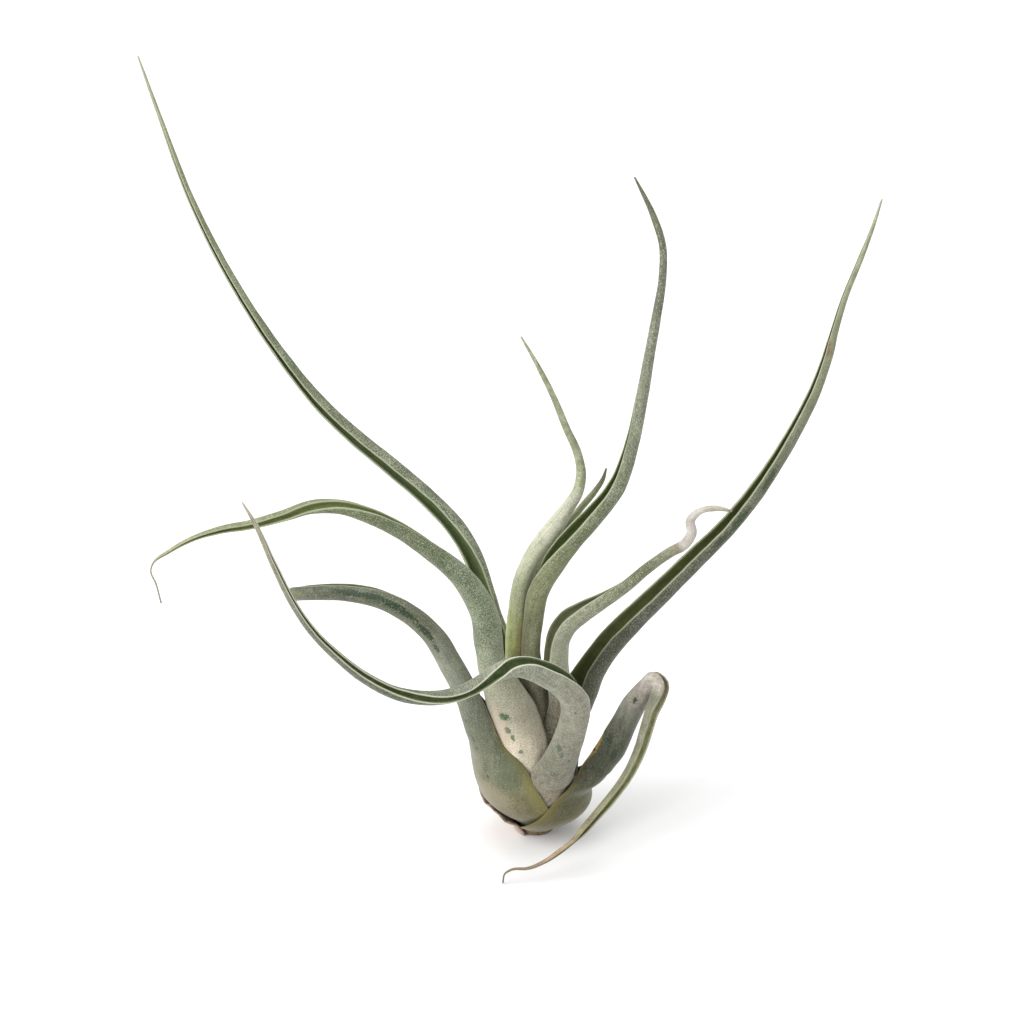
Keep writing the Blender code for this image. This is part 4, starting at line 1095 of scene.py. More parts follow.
@dataclass
class Leaf:
    """One leaf, from its sheath to its tip; sizes in mm, its scales by the square mm."""

    node: str
    stations: tuple[Station, ...]
    finish: LeafFinish
    seed: int
    nicks: tuple[Nick, ...] = ()
    waviness: float = 0.5
    unevenness: float = 0.25
    swelling: float = 0.006
    scales: float = 3.0
    scale_width: float = 0.36
    scale_height: float = 0.07

    def rows(self, curve: Curve) -> tuple[np.ndarray, np.ndarray]:
        """Read the fine rows off the curve, with small natural changes of width.

        Args:
            curve: The leaf's curve.

        Returns:
            The rings' places along the leaf, and their rows.
        """
        places = curve.places(RULE.fine_spacing, RULE.fine_spacing)
        rows = curve.read(places)
        swell = waves(places, SWELL_LENGTHS, np.random.default_rng(self.seed))
        even_up_to, fade = 25.0, 20.0
        rows[:, 3] *= 1 + self.swelling * swell * ease((places - even_up_to) / fade)
        return places, rows

    def margins(self, places: np.ndarray) -> np.ndarray:
        """Work out how much further each margin gapes: waves and nicks.

        Args:
            places: The rings' places along the leaf, in mm.

        Returns:
            The change at each ring, in degrees, for both margins.
        """
        draw = np.random.default_rng(self.seed + 100)
        extra = np.stack([waves(places, RIPPLE_LENGTHS, draw) for _ in range(2)], axis=1)
        even_up_to, fade = 20.0, 20.0
        extra *= self.waviness * ease((places - even_up_to) / fade)[:, None]
        for nick in self.nicks:
            bump = np.exp(-((places - nick.along) / nick.long) ** 2)
            extra[:, nick.margin] += nick.deep * bump
        return extra

    def build(self, nest: Nest, growth: Growth, effects: Effects) -> bpy.types.Object:
        """Build the leaf's finished mesh.

        Args:
            nest: What is inside the leaf; the leaf is added to it.
            growth: The Geometry Nodes trees.
            effects: The shared shader groups.

        Returns:
            The leaf, as a plain mesh.
        """
        curve = Curve(self.stations)
        coarse, shift = nest.fit(curve)
        places, rows = self.rows(curve)
        rings = Rings.lay(rows, RULE.fine_across, self.margins(places))
        moved = self.refine(shift, coarse, places)
        start = put(self.node + "_start", self.sheet(rings, moved, places))
        tree_modifier(start, growth.wall, {
            **WALL_SIZES, "Unevenness": self.unevenness * MM,
            "Unevenness Seed": float(self.seed),
            "Material": self.finish.material(self.node, effects)})
        piece = settle(start, self.node + "_grown")
        piece.data.shade_smooth()
        return piece

    def refine(self, shift: np.ndarray, coarse: np.ndarray, places: np.ndarray) -> np.ndarray:
        """Spread the coarse rings' moves smoothly over the fine ones.

        Args:
            shift: How far each coarse point moves, in mm.
            coarse: The coarse rings' places along the leaf.
            places: The fine rings' places.

        Returns:
            How far each fine point moves.
        """
        across = np.linspace(0, 1, RULE.coarse_across)
        fine = np.linspace(0, 1, RULE.fine_across)
        wide = np.array([[np.interp(fine, across, ring[:, axis]) for axis in range(3)]
                         for ring in shift]).transpose(0, 2, 1)
        flat = wide.reshape(len(coarse), -1)
        out = np.array([np.interp(places, coarse, column) for column in flat.T]).T
        out = out.reshape(len(places), RULE.fine_across, 3)
        rings_blurred, points_blurred = 1.6, 1.0
        return blur(blur(out, rings_blurred, 0), points_blurred, 1)

    def sheet(self, rings: Rings, moved: np.ndarray, places: np.ndarray) -> bpy.types.Mesh:
        """Make the closed mesh that carries every measure of the leaf.

        Args:
            rings: The fine rings.
            moved: How far each point is moved by what is inside the leaf, in mm.
            places: The rings' places along the leaf, in mm.

        Returns:
            The mesh, whose points the wall tree puts in place.
        """
        count, across = rings.spoke.shape[:2]
        there = np.arange(across)
        order = np.concatenate([there, [across - 1], there[::-1], [0]])
        sides = np.repeat([Face.OUTER.value, Face.RIM.value, Face.CHANNEL.value, Face.RIM.value],
                          [across, 1, across, 1])
        around = len(order)
        spoke = rings.spoke[:, order]
        brim = np.zeros_like(spoke)
        for column, (near, far) in ((across, (-1, -2)), (around - 1, (0, 1))):
            brim[:, column] = unit(rings.spoke[:, near] - rings.spoke[:, far])
        arc = np.linalg.norm(np.diff(rings.spoke, axis=1), axis=2) * rings.radius[:, None]
        arc = np.concatenate([np.zeros((count, 1)), np.cumsum(arc, axis=1)], axis=1)
        middle = arc[:, -1:] / 2
        margin = middle - np.abs(arc - middle)
        spine = np.repeat(rings.path[:, None], around, axis=1)
        faces = [(b, a, d, c) for a, b, c, d in ring_faces(count, around)]
        faces.append(tuple(range(around)))
        faces.append(tuple(range(count * around - 1, (count - 1) * around - 1, -1)))
        mesh = bpy.data.meshes.new(self.node)
        guide = (spine + rings.radius[:, None, None] * spoke).reshape(-1, 3) * MM
        mesh.from_pydata(guide.tolist(), [], faces)
        along = np.repeat(places[:, None], around, axis=1)
        face = np.repeat(sides[None], count, axis=0)
        measures = {
            "reach": np.repeat(rings.radius[:, None], around, axis=1) * MM, "leaf_face": face,
            "leaf_across": np.repeat((2 * rings.share - 1)[None, order], count, axis=0),
            "leaf_run": along / places[-1], "from_margin": margin[:, order],
            "scale_cover": self.scale_cover(along / places[-1], face),
            "spine": spine * MM, "spoke": spoke, "brim": brim, "nest": moved[:, order] * MM,
            "leaf_map": np.stack([(arc - middle)[:, order], along, face * FACE_GAP], axis=2)}
        for name, values in measures.items():
            kind, slot = ("FLOAT_VECTOR", "vector") if values.ndim == 3 else ("FLOAT", "value")
            made = mesh.attributes.new(name, kind, "POINT")
            made.data.foreach_set(slot, values.reshape(-1).astype(np.float32))
        return mesh

    def scale_cover(self, run: np.ndarray, face: np.ndarray) -> np.ndarray:
        """Work out how thickly silver scales stand.

        Args:
            run: How far along the leaf each point is, from 0 to 1.
            face: Which face each point is on.

        Returns:
            The cover at each point, from 0 to 1.
        """
        outer = np.interp(run, *zip(*self.finish.outer_cover))
        channel = np.interp(run, *zip(*self.finish.channel_cover))
        return np.where(face <= Face.RIM.value, outer, channel * 0.6)

    def scatter(self, leaf: bpy.types.Object, growth: Growth) -> bpy.types.Object:
        """Scatter silver scales over the finished leaf.

        Args:
            leaf: The finished leaf.
            growth: The Geometry Nodes trees.

        Returns:
            The scales, as one plain mesh.
        """
        silver = ScaleFinish(self.finish.scurf).material(self.node + "_scales")
        start = put(self.node + "_scales_start", leaf.data.copy())
        tree_modifier(start, growth.scales, {
            "Density": self.scales / MM ** 2, "Scale Width": self.scale_width * MM,
            "Scale Height": self.scale_height * MM, "Seed": self.seed, "Material": silver})
        return settle(start, self.node + "_scurf")


@dataclass(frozen=True)
class ScaleFinish:
    """The silver scales: thin, pale and matt, each a little different."""

    colour: Colour
    roughness: float = 0.75
    darkest: float = 0.6
    palest: float = 1.05
    changes_per_metre: float = 1800.0

    def material(self, name: str) -> bpy.types.Material:
        """Make the scales' material.

        Args:
            name: The material's name.

        Returns:
            The material.
        """
        made, wires, shader = new_material(name)
        change = wires.noise(wires.own_place(), self.changes_per_metre, 1.0)
        change = wires.step(change, 0.35, 0.65)
        dark, pale = (tuple(level * c for c in self.colour)
                      for level in (self.darkest, self.palest))
        wires.feed(shader["Base Color"], wires.mix(change, dark, pale))
        shader["Roughness"].default_value = self.roughness
        shader["Specular IOR Level"].default_value = 0.15
        return made


@dataclass(frozen=True)
class DeadFinish:
    """Dead plant tissue: brown, fibrous and dull."""

    dark: Colour
    light: Colour
    roughness: float = 0.85
    fineness: float = 1.0
    stain_level: float = 0.6
    stain_shade: float = 0.6
    stains_per_metre: float = 260.0

    def material(self, name: str, effects: Effects) -> bpy.types.Material:
        """Make the material of a dead piece.

        Args:
            name: The material's name.
            effects: The shared shader groups.

        Returns:
            The material.
        """
        made, wires, shader = new_material(name)
        place = wires.own_place()
        fibre = effects.use(wires, effects.fibres, place=place, fineness=self.fineness)
        stain = wires.step(wires.noise(place, self.stains_per_metre, 3.0), 0.4, 0.75)
        tone = wires.mix(fibre, self.dark, self.light)
        tone = wires.mix(wires.times(stain, self.stain_level), tone,
                         tuple(c * self.stain_shade for c in self.dark))
        wires.feed(shader["Base Color"], tone)
        wires.feed(shader["Roughness"],
                   wires.math("MULTIPLY_ADD", fibre, 0.12, self.roughness - 0.1))
        wires.feed(shader["Normal"], wires.bump(fibre, 0.6, 0.2 * MM))
        return made


def plain_mesh(name: str, points: np.ndarray, faces: list[tuple[int, ...]],
               material: bpy.types.Material) -> bpy.types.Object:
    """Make a smooth closed piece from points in mm.

    Args:
        name: The piece's name.
        points: The points.
        faces: The faces, by the points' numbers.
        material: The piece's material.

    Returns:
        The piece.
    """
    mesh = bpy.data.meshes.new(name)
    mesh.from_pydata((points * MM).tolist(), [], faces)
    mesh.materials.append(material)
    mesh.shade_smooth()
    mesh.set_sharp_from_angle(angle=math.radians(60))
    return put(name, mesh)


@dataclass
class Stem:
    """The cut stem, with the scars of shed leaves."""

    profile: Levels = (
        (0.0, 6.2), (0.8, 6.8), (3.0, 6.8), (6.0, 6.4), (10.0, 5.4), (14.0, 3.9), (18.0, 2.4))
    sides: int = 96
    steps: int = 60
    scar_spacing: float = 1.1
    scar_depth: float = 0.18
    ridge_depth: float = 0.1
    ridge_twist: float = 0.4
    ridges: tuple[int, ...] = (9, 16, 27)
    finish: DeadFinish = DeadFinish((0.12, 0.065, 0.03), (0.34, 0.24, 0.13))

    def build(self, effects: Effects) -> bpy.types.Object:
        """Turn the stem and press its scars and fibres in.

        Args:
            effects: The shared shader groups.

        Returns:
            The stem.
        """
        height, radius = zip(*self.profile)
        turn = np.arange(self.sides) * TURN / self.sides
        phase = np.random.default_rng(5).uniform(0, TURN, 6)
        rings = []
        for z in np.linspace(0, height[-1], self.steps):
            scar = 0.5 + 0.5 * np.sin(TURN * z / self.scar_spacing + np.sin(3 * turn))
            ridge = sum(np.sin(turn * k + phase[k % 6] + z * self.ridge_twist)
                        for k in self.ridges) / len(self.ridges)
            dent = self.scar_depth * scar + self.ridge_depth * np.abs(ridge)
            reach = np.interp(z, height, radius) - dent * ease(np.array(z))
            rings.append(np.stack([reach * np.cos(turn), reach * np.sin(turn),
                                   np.full(self.sides, z)], axis=1))
        last = (self.steps - 1) * self.sides
        faces = ring_faces(self.steps, self.sides)
        faces += [tuple(range(self.sides))[::-1], tuple(range(last, last + self.sides))]
        return plain_mesh("stem_cut", np.concatenate(rings), faces,
                          self.finish.material("stem", effects))


@dataclass
class DrySheath:
    """The dead outer sheath, a torn cuff round the left and back of the stem."""

    base_radius: float = 7.8
    rim_radius: float = 16.8
    rim_height: float = 16.4
    rim_slope: float = 1.0
    end_drop: float = 3.0
    end_share: float = 0.1
    flare: float = 1.25
    tears: int = 11
    tear_depth: float = 0.5
    fray_depth: float = 0.25
    crease_depth: float = 0.1
    creases: int = 37
    crease_bends: int = 5
    wall: float = 0.7
    opening: float = math.radians(106)
    facing: float = math.radians(-18)
    across: int = 161
    rings: int = 25
    neighbours: int = 8
    finish: DeadFinish = DeadFinish((0.38, 0.26, 0.18), (0.62, 0.50, 0.40), 0.8, 0.8)

    def build(self, nest: Nest, effects: Effects) -> bpy.types.Object:
        """Build the cuff round what it wraps, with a frayed rim.

        Args:
            nest: The leaves and stem inside the cuff.
            effects: The shared shader groups.

        Returns:
            The cuff.
        """
        share = np.linspace(0, 1, self.across)
        angle = self.facing + self.opening + share * (TURN - 2 * self.opening)
        spoke = np.stack([np.cos(angle), np.sin(angle), np.zeros(self.across)], axis=1)
        rim = self.rim_height - self.rim_slope * np.cos(TURN * share)
        rim = rim - self.tear_depth * np.sin(self.tears * angle) ** 2
        rim = rim - self.end_drop * ease((share - 1 + self.end_share) / self.end_share)
        fray = np.abs(blur(np.random.default_rng(11).normal(0, 1, self.across), 0.8, 0))
        rim = rim - self.fray_depth * fray
        tree = BVHTree.FromPolygons(nest.points, nest.faces)
        inner = []
        for step in np.linspace(0, 1, self.rings):
            radius = self.base_radius + (self.rim_radius - self.base_radius) * step ** self.flare
            ring = (radius - self.wall) * spoke
            ring[:, 2] = step * rim
            reach = np.linalg.norm(nest.over(ring, spoke, tree)[:, :2], axis=1)
            beside = np.lib.stride_tricks.sliding_window_view(
                np.pad(reach, self.neighbours, mode="edge"), 2 * self.neighbours + 1)
            ring[:, :2] = beside.max(axis=1)[:, None] * spoke[:, :2]
            inner.append(ring)
        inner = np.array(inner)
        bend = 2 * np.sin(angle * self.crease_bends)
        crease = self.crease_depth * np.sin(angle * self.creases + bend)
        lift = ease(np.linspace(0, 3, self.rings))[:, None] * np.abs(crease)[None]
        outer = inner + (self.wall + lift)[:, :, None] * spoke
        solid = np.concatenate([outer, inner[:, ::-1]], axis=1)
        around = 2 * self.across
        faces = ring_faces(self.rings, around)
        for base, flip in ((0, True), ((self.rings - 1) * around, False)):
            for i in range(self.across - 1):
                quad = (base + i, base + i + 1, base + around - 2 - i, base + around - 1 - i)
                faces.append(quad[::-1] if flip else quad)
        return plain_mesh("dry_sheath_torn", solid.reshape(-1, 3), faces,
                          self.finish.material("dry_sheath", effects))


@dataclass
class Studio:
    """The pale floor, the soft lights and the camera; sizes in metres, power in watts."""

    elevation: float = 30.0
    distance: float = 1.0
    target: Point = (-0.0086, 0.0, 0.1268)
    lens: float = 106.5
    floor_size: float = 12.0
    floor_drop: float = 0.0002
    surround: float = 0.55
    softboxes: tuple[tuple[str, Point, float, float], ...] = (
        ("softbox_left", (-1.2, -0.7, 1.2), 1.2, 32.0),
        ("softbox_right", (1.3, -0.5, 1.0), 1.2, 7.0),
        ("softbox_top", (0.0, 0.35, 1.7), 1.6, 20.0))

    def build(self) -> None:
        """Put up the floor, the lights and the camera."""
        self.floor()
        for softbox in self.softboxes:
            self.light(*softbox)
        world = bpy.data.worlds.new("studio")
        world.use_nodes = True
        shade = world.node_tree.nodes["Background"]
        shade.inputs[0].default_value = (1.0, 1.0, 1.0, 1.0)
        shade.inputs[1].default_value = self.surround
        bpy.context.scene.world = world
        bpy.context.scene.view_settings.view_transform = "Standard"
        self.camera()

    def floor(self) -> None:
        """Lay the floor just under the plant."""
        half = self.floor_size / 2
        mesh = bpy.data.meshes.new("floor")
        mesh.from_pydata([(-half, -half, 0), (half, -half, 0), (half, half, 0),
                          (-half, half, 0)], [], [(0, 1, 2, 3)])
        made, wires, shader = new_material("pale_floor")
        tone = wires.mix(wires.noise(wires.own_place(), 3.0), (0.80,) * 3, (0.82,) * 3)
        wires.feed(shader["Base Color"], tone)
        shader["Roughness"].default_value = 0.9
        shader["Specular IOR Level"].default_value = 0.1
        mesh.materials.append(made)
        floor = put("floor", mesh)
        floor.location = (0.0, 0.0, -self.floor_drop)

    def light(self, name: str, place: Point, size: float, power: float) -> None:
        """Hang one square softbox that looks at the plant.

        Args:
            name: Its name.
            place: Where it hangs.
            size: How wide it is.
            power: How strong it is.
        """
        lamp = bpy.data.lights.new(name, "AREA")
        lamp.size = size
        lamp.energy = power
        thing = put(name, lamp)
        thing.location = place
        aim = Vector(self.target) - Vector(place)
        thing.rotation_euler = aim.to_track_quat("-Z", "Y").to_euler()

    def camera(self) -> None:
        """Set the camera at the photograph's viewing angle."""
        lens = bpy.data.cameras.new("camera")
        lens.lens = self.lens
        lens.sensor_width = 36.0
        thing = put("camera", lens)
        tilt = math.radians(self.elevation)
        x, y, z = self.target
        thing.location = (x, y - self.distance * math.cos(tilt),
                          z + self.distance * math.sin(tilt))
        thing.rotation_euler = (math.radians(90) - tilt, 0.0, 0.0)
        bpy.context.scene.camera = thing


LEAVES = (
    Leaf("leaf_inner_tip", LEAF_INNER_TIP, LeafFinish(
        outer=((0, 0.24, 0.28, 0.13), (0.75, 0.3, 0.33, 0.19), (0.93, 0.22, 0.235, 0.135),
            (1, 0.09, 0.085, 0.05)),
        channel=((0, 0.16, 0.2, 0.08), (0.6, 0.24, 0.275, 0.145), (0.93, 0.2, 0.22, 0.12),
            (1, 0.08, 0.075, 0.04)),
        outer_cover=((0, 0.3), (0.9, 0.25), (1, 0.05)), channel_cover=((0, 0.1), (1, 0)),
        scurf=(0.4, 0.44, 0.3)),
        seed=1),
    Leaf("leaf_centre_short", LEAF_CENTRE_SHORT, LeafFinish(
        outer=((0, 0.36, 0.28, 0.17), (0.26, 0.34, 0.3, 0.16), (0.33, 0.43, 0.475, 0.16),
            (0.38, 0.435, 0.485, 0.17), (0.46, 0.35, 0.385, 0.215), (0.66, 0.375, 0.375, 0.285),
            (0.72, 0.24, 0.26, 0.155), (0.8, 0.185, 0.21, 0.12), (1, 0.2, 0.205, 0.125)),
        channel=((0, 0.2, 0.25, 0.09), (0.6, 0.18, 0.24, 0.08), (1, 0.18, 0.22, 0.1)),
        outer_cover=((0, 0.3), (0.36, 0.3), (0.5, 0.5), (0.62, 0.6), (0.75, 0.3), (1, 0.15)),
        channel_cover=((0, 0.1), (1, 0.08)), scurf=(0.58, 0.58, 0.48), streaking=0.5,
        clouding=0.7, tint=(0.5, 0.46, 0.37), tint_level=0.25,
        marks=(Mark(68, 3.7, 8, 0.9, 0.32, colour=RUST), Mark(58, 3, 4, 1.4, 0.4, colour=RUST))),
        seed=2),
    Leaf("leaf_centre_tall", LEAF_CENTRE_TALL, LeafFinish(
        outer=((0, 0.17, 0.15, 0.1), (0.2, 0.16, 0.145, 0.095), (0.27, 0.2, 0.21, 0.11),
            (0.36, 0.195, 0.205, 0.105), (0.5, 0.105, 0.125, 0.062), (0.7, 0.16, 0.172, 0.12),
            (0.88, 0.088, 0.094, 0.06), (1, 0.1, 0.105, 0.058)),
        channel=((0, 0.13, 0.15, 0.05), (0.7, 0.14, 0.19, 0.065), (1, 0.14, 0.17, 0.08)),
        outer_cover=((0, 0.3), (0.35, 0.3), (0.5, 0.38), (0.75, 0.45), (1, 0.3)),
        channel_cover=((0, 0.05), (1, 0.1)), scurf=(0.42, 0.43, 0.34), streaking=0.45,
        mottling=0.8,
        marks=(Mark(66, -6.4, 9, 1.4, 0.45, colour=RUST),
            Mark(58, -3, 3, 2, 0.3, colour=(0.3, 0.19, 0.12)))),
        seed=3),
    Leaf("leaf_long_left", LEAF_LONG_LEFT, LeafFinish(
        outer=((0, 0.1, 0.12, 0.06), (0.3, 0.066, 0.082, 0.044), (0.6, 0.082, 0.104, 0.052),
            (0.85, 0.15, 0.17, 0.085), (0.97, 0.25, 0.265, 0.16), (1, 0.3, 0.22, 0.13)),
        channel=((0, 0.1, 0.14, 0.045), (0.35, 0.11, 0.155, 0.055), (0.7, 0.15, 0.19, 0.075),
            (1, 0.3, 0.34, 0.18)),
        outer_cover=((0, 0.4), (0.35, 0.5), (0.7, 0.45), (1, 0.3)),
        channel_cover=((0, 0.05), (1, 0.05)), scurf=(0.39, 0.41, 0.31), grain=0.3,
        tint=(0.15, 0.14, 0.1), tint_level=0.3),
        seed=4, nicks=(Nick(189.7, 1, 2, -6), Nick(113.6, 0, 3, 4))),
    Leaf("leaf_curl_tip", LEAF_CURL_TIP, LeafFinish(
        outer=((0, 0.13, 0.11, 0.075), (0.28, 0.18, 0.155, 0.11), (0.38, 0.27, 0.28, 0.19),
            (0.46, 0.27, 0.285, 0.2), (0.61, 0.145, 0.16, 0.089), (0.75, 0.09, 0.102, 0.05),
            (0.8, 0.15, 0.16, 0.1), (0.83, 0.19, 0.175, 0.115), (0.845, 0.46, 0.42, 0.39),
            (0.93, 0.44, 0.41, 0.37), (1, 0.25, 0.24, 0.155)),
        channel=((0, 0.12, 0.14, 0.06), (0.4, 0.25, 0.27, 0.14), (0.82, 0.17, 0.2, 0.085),
            (0.85, 0.4, 0.36, 0.3), (1, 0.3, 0.28, 0.16)),
        outer_cover=((0, 0.3), (0.35, 0.5), (0.65, 0.45), (0.82, 0.3), (0.85, 0.1), (1, 0)),
        channel_cover=((0, 0.1), (1, 0.05)), roughness=0.55, scurf=(0.48, 0.49, 0.4),
        margin_level=((0, 0), (0.3, 0.3), (0.4, 0.8), (1, 0.8)), clouding=0.7,
        tint=(0.24, 0.2, 0.13), tint_level=0.25),
        seed=5),
    Leaf("leaf_left_arching", LEAF_LEFT_ARCHING, LeafFinish(
        # Cream at the sheath. Towards its base the tones are raised past that as painted light,
        # where the front loop's shade falls.
        outer=((0, 0.52, 0.46, 0.34), (0.15, 0.66, 0.58, 0.455), (0.2, 0.345, 0.31, 0.24),
            (0.28, 0.23, 0.23, 0.16), (0.34, 0.124, 0.147, 0.09), (0.45, 0.1, 0.126, 0.069),
            (0.62, 0.099, 0.122, 0.06), (0.85, 0.185, 0.2, 0.1), (0.93, 0.27, 0.23, 0.135),
            (1, 0.2, 0.13, 0.1)),
        channel=((0, 0.12, 0.16, 0.06), (0.5, 0.21, 0.24, 0.13), (0.66, 0.3, 0.36, 0.16),
            (0.9, 0.22, 0.25, 0.1), (1, 0.12, 0.08, 0.06)),
        outer_cover=((0, 0.3), (0.2, 0.4), (0.3, 0.5), (0.45, 0.5), (0.55, 0.35), (0.9, 0.3),
            (1, 0)),
        channel_cover=((0, 0.05), (1, 0.05)), scurf=(0.46, 0.52, 0.37),
        # Dark olive along the sheath's margins: partly the margins' own colour, partly painted
        # shade where they lie in shadow.
        flush=(0.11, 0.1, 0.04), flush_reach=((0, 0.12), (0.18, 0.15), (0.24, 0)),
        stain=(0.06, 0.105, 0.05), streaking=0.2, grit=0.85, grain=0.3,
        marks=(Mark(41, 0.5, 14, 3, 0.6, colour=(0.5, 0.41, 0.31)), Mark(49.8, 2.9, 2.2, 2),
            Mark(43.4, 3, 1.6, 1.2, 0.85), Mark(40.2, 4.4, 1.6, 0.8, 0.85),
            Mark(34.2, 7, 1, 0.8, 0.8)),
        tint=(0.22, 0.17, 0.11), tint_level=0.15),
        seed=6),
    Leaf("leaf_long_right", LEAF_LONG_RIGHT, LeafFinish(
        outer=((0, 0.085, 0.093, 0.057), (0.32, 0.068, 0.076, 0.049), (0.52, 0.075, 0.086, 0.05),
            (0.84, 0.22, 0.24, 0.138), (1, 0.3, 0.3, 0.2)),
        channel=((0, 0.14, 0.17, 0.065), (0.3, 0.21, 0.24, 0.1), (0.5, 0.16, 0.19, 0.065),
            (0.85, 0.19, 0.24, 0.1), (1, 0.28, 0.31, 0.18)),
        outer_cover=((0, 0.35), (0.4, 0.42), (0.7, 0.45), (1, 0.25)),
        channel_cover=((0, 0.03), (1, 0.03)), scurf=(0.285, 0.295, 0.24),
        tint=(0.12, 0.1, 0.075), tint_level=0.4, stain=(0.034, 0.056, 0.025),
        marks=(Mark(128.7, -6, 6, 1.5, 0.75), Mark(120, -6.6, 4, 1.3, 0.7),
            Mark(146, -5.6, 5, 1.3, 0.75),
            Mark(196, -4.6, 4.5, 1, 0.9, colour=(0.15, 0.095, 0.05)))),
        seed=7, nicks=(Nick(197.2, 0, 1.5, -6), Nick(121.5, 0, 3, 3))),
    Leaf("leaf_front_loop", LEAF_FRONT_LOOP, LeafFinish(
        outer=((0, 0.25, 0.215, 0.155), (0.12, 0.22, 0.195, 0.145), (0.165, 0.165, 0.16, 0.118),
            (0.25, 0.216, 0.207, 0.154), (0.32, 0.24, 0.236, 0.178), (0.42, 0.214, 0.221, 0.163),
            (0.594, 0.085, 0.1, 0.06), (0.8, 0.155, 0.165, 0.118), (0.94, 0.27, 0.245, 0.17),
            (1, 0.32, 0.24, 0.155)),
        channel=((0, 0.12, 0.16, 0.06), (0.35, 0.11, 0.15, 0.05), (0.45, 0.15, 0.2, 0.085),
            (0.7, 0.23, 0.25, 0.115), (1, 0.24, 0.2, 0.1)),
        outer_cover=((0, 0.12), (0.2, 0.25), (0.3, 0.38), (0.6, 0.35), (1, 0.3)),
        channel_cover=((0, 0.08), (1, 0.05)), scurf=(0.4, 0.4, 0.33),
        stain=(0.055, 0.095, 0.055), margin=(0.62, 0.62, 0.52),
        margin_level=((0, 0.3), (0.15, 0.8), (1, 0.7)),
        marks=(Mark(51.6, -3.4, 1.4, 1.5, 0.8), Mark(49.2, -1.9, 1, 0.9, 0.8),
            Mark(71.6, 4.4, 0.6, 0.4), Mark(47.3, 1, 0.5, 0.5), Mark(82.4, 1.1, 0.4, 0.4),
            Mark(76, -1, 9, 2.4, 0.35, colour=(0.11, 0.145, 0.09)),
            Mark(44, -5, 6, 2.6, 0.4, colour=(0.115, 0.13, 0.08))),
        ribbing=0.6, clouding=0.9, grit=0.75),
        seed=8),
    Leaf("leaf_thick_left", LEAF_THICK_LEFT, LeafFinish(
        outer=((0, 0.13, 0.092, 0.03), (0.1, 0.138, 0.133, 0.066), (0.16, 0.15, 0.16, 0.105),
            (0.26, 0.115, 0.128, 0.088), (0.35, 0.21, 0.225, 0.17), (0.42, 0.12, 0.125, 0.085),
            (0.48, 0.088, 0.098, 0.062), (0.6, 0.063, 0.071, 0.044), (1, 0.09, 0.105, 0.06)),
        channel=((0, 0.08, 0.1, 0.04), (0.6, 0.08, 0.11, 0.04), (1, 0.1, 0.14, 0.05)),
        outer_cover=((0, 0.15), (0.2, 0.3), (0.5, 0.36), (1, 0.3)),
        channel_cover=((0, 0.03), (1, 0.05)), scurf=(0.29, 0.305, 0.235),
        flush=(0.2, 0.176, 0.045),
        flush_reach=((0, 0.8), (0.13, 0.5), (0.19, 0.3), (0.23, 0.08), (0.3, 0)),
        stain=(0.022, 0.04, 0.019),
        marks=(Mark(119, 5.8, 7, 1.1, 0.9), Mark(111, 5.8, 4, 1.2, 0.9),
            Mark(104.5, 5.2, 4.5, 1.4), Mark(99, 4.6, 3.5, 1.2, 0.9),
            Mark(91, 3.8, 4.5, 1.2, 0.9), Mark(84, 3.2, 2, 0.8, 0.7),
            Mark(140.5, 4.2, 3.5, 1, 0.5, colour=(0.17, 0.17, 0.05)),
            Mark(47.9, 5, 1.3, 0.4, 0.7), Mark(43.1, 4.2, 1.8, 0.4, 0.7),
            Mark(29.5, 8.8, 0.8, 0.5, 0.7), Mark(43.7, 13, 4, 2.2, 0.35),
            # A soft darker green patch towards the sheath's front margin.
            Mark(33, 16.5, 12, 5, 0.4, colour=(0.075, 0.1, 0.05)),
            Mark(20, 9, 7, 10, 0.42, colour=(0.34, 0.29, 0.21)),
            Mark(33, 3, 9, 4, 0.3, colour=(0.27, 0.25, 0.19))),
        tint=(0.13, 0.11, 0.08), tint_level=0.25, clouding=0.8, grit=0.75),
        seed=9, scales=2),
    Leaf("leaf_right_folded", LEAF_RIGHT_FOLDED, LeafFinish(
        # The pale band at the fold, about 0.42 to 0.45 of the way along, is a painted highlight on
        # its crest.
        outer=((0, 0.125, 0.1, 0.035), (0.12, 0.084, 0.088, 0.043), (0.25, 0.052, 0.061, 0.038),
            (0.32, 0.1, 0.11, 0.076), (0.37, 0.22, 0.225, 0.18), (0.42, 0.3, 0.27, 0.23),
            (0.45, 0.48, 0.43, 0.39), (0.49, 0.21, 0.215, 0.155), (0.6, 0.215, 0.225, 0.145),
            (0.8, 0.21, 0.19, 0.1), (0.87, 0.38, 0.26, 0.165), (1, 0.07, 0.038, 0.026)),
        # The channel's pale stops at 0.47 to 0.52 are painted light inside the closed fold.
        channel=((0, 0.1, 0.1, 0.05), (0.4, 0.14, 0.12, 0.07), (0.47, 0.28, 0.24, 0.16),
            (0.52, 0.48, 0.49, 0.31), (0.75, 0.33, 0.35, 0.17), (1, 0.1, 0.06, 0.04)),
        outer_cover=((0, 0.15), (0.25, 0.25), (0.45, 0.35), (0.75, 0.35), (0.85, 0.05), (1, 0)),
        channel_cover=((0, 0.05), (1, 0)), scurf=(0.26, 0.26, 0.215),
        flush=(0.15, 0.118, 0.032),
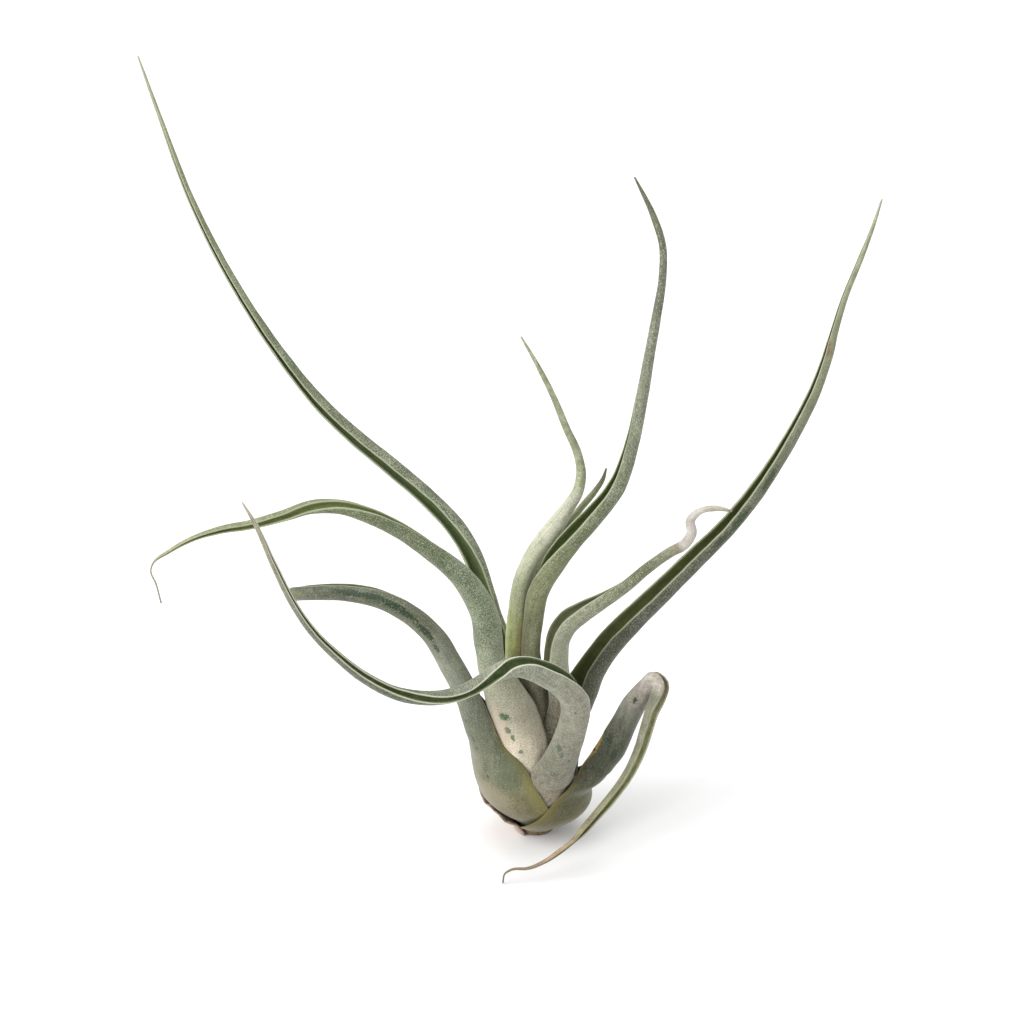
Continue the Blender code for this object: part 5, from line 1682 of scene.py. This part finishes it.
        flush_reach=((0, 0.8), (0.12, 0.42), (0.2, 0.12), (0.3, 0.12), (0.36, 0)),
        margin_level=((0, 0), (0.4, 0.1), (0.5, 0.4), (1, 0.3)), stain=(0.022, 0.036, 0.028),
        marks=(Mark(70.8, -5.4, 1.2, 0.8, 0.9), Mark(52.8, -9, 3, 1.4, 0.5),
            Mark(61, -6.8, 2.6, 1.4, 0.4), Mark(49, -6, 3, 1.2, 0.5),
            Mark(50, -13, 5.5, 1.1, 0.9, colour=(0.34, 0.23, 0.06)),
            Mark(47.2, -13.2, 0.7, 0.6, 1, colour=(0.05, 0.02, 0.01)),
            Mark(54.4, -12.3, 0.7, 0.6, 1, colour=(0.05, 0.02, 0.01))),
        ribbing=0.26, clouding=0.9, grit=0.75, tint=(0.12, 0.09, 0.06), tint_level=0.35),
        seed=10, scales=1.8),
)


@dataclass
class Plant:
    """The whole plant: the leaves from the innermost outwards, the stem and the cuff."""

    leaves: tuple[Leaf, ...] = LEAVES
    stem: Stem = field(default_factory=Stem)
    cuff: DrySheath = field(default_factory=DrySheath)

    def build(self) -> None:
        """Build and place every piece, and hide the CAD part that each one stands for."""
        effects = Effects()
        growth = Growth()
        nest = Nest(self.stem.profile)
        for leaf in self.leaves:
            piece = leaf.build(nest, growth, effects)
            self.place(piece, leaf.node, leaf.node)
            self.place(leaf.scatter(piece, growth), None, leaf.node)
        self.place(self.stem.build(effects), "stem", "stem")
        self.place(self.cuff.build(nest, effects), "dry_sheath", "dry_sheath")

    def place(self, piece: bpy.types.Object, node: str | None, slot: str) -> None:
        """Ride a piece on the root body and report it.

        Args:
            piece: The finished piece.
            node: The CAD node that it stands for, if any.
            slot: Not used.
        """
        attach(piece, "root")
        if node:
            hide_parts(node)
        log.info("%s: %d triangles", piece.name,
                 sum(len(face.vertices) - 2 for face in piece.data.polygons))


def main() -> None:
    """Build the plant and the studio."""
    logging.basicConfig(level=logging.INFO, format="%(name)s: %(message)s")
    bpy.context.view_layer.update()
    Plant().build()
    Studio().build()


if __name__ == "__main__":
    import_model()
    main()
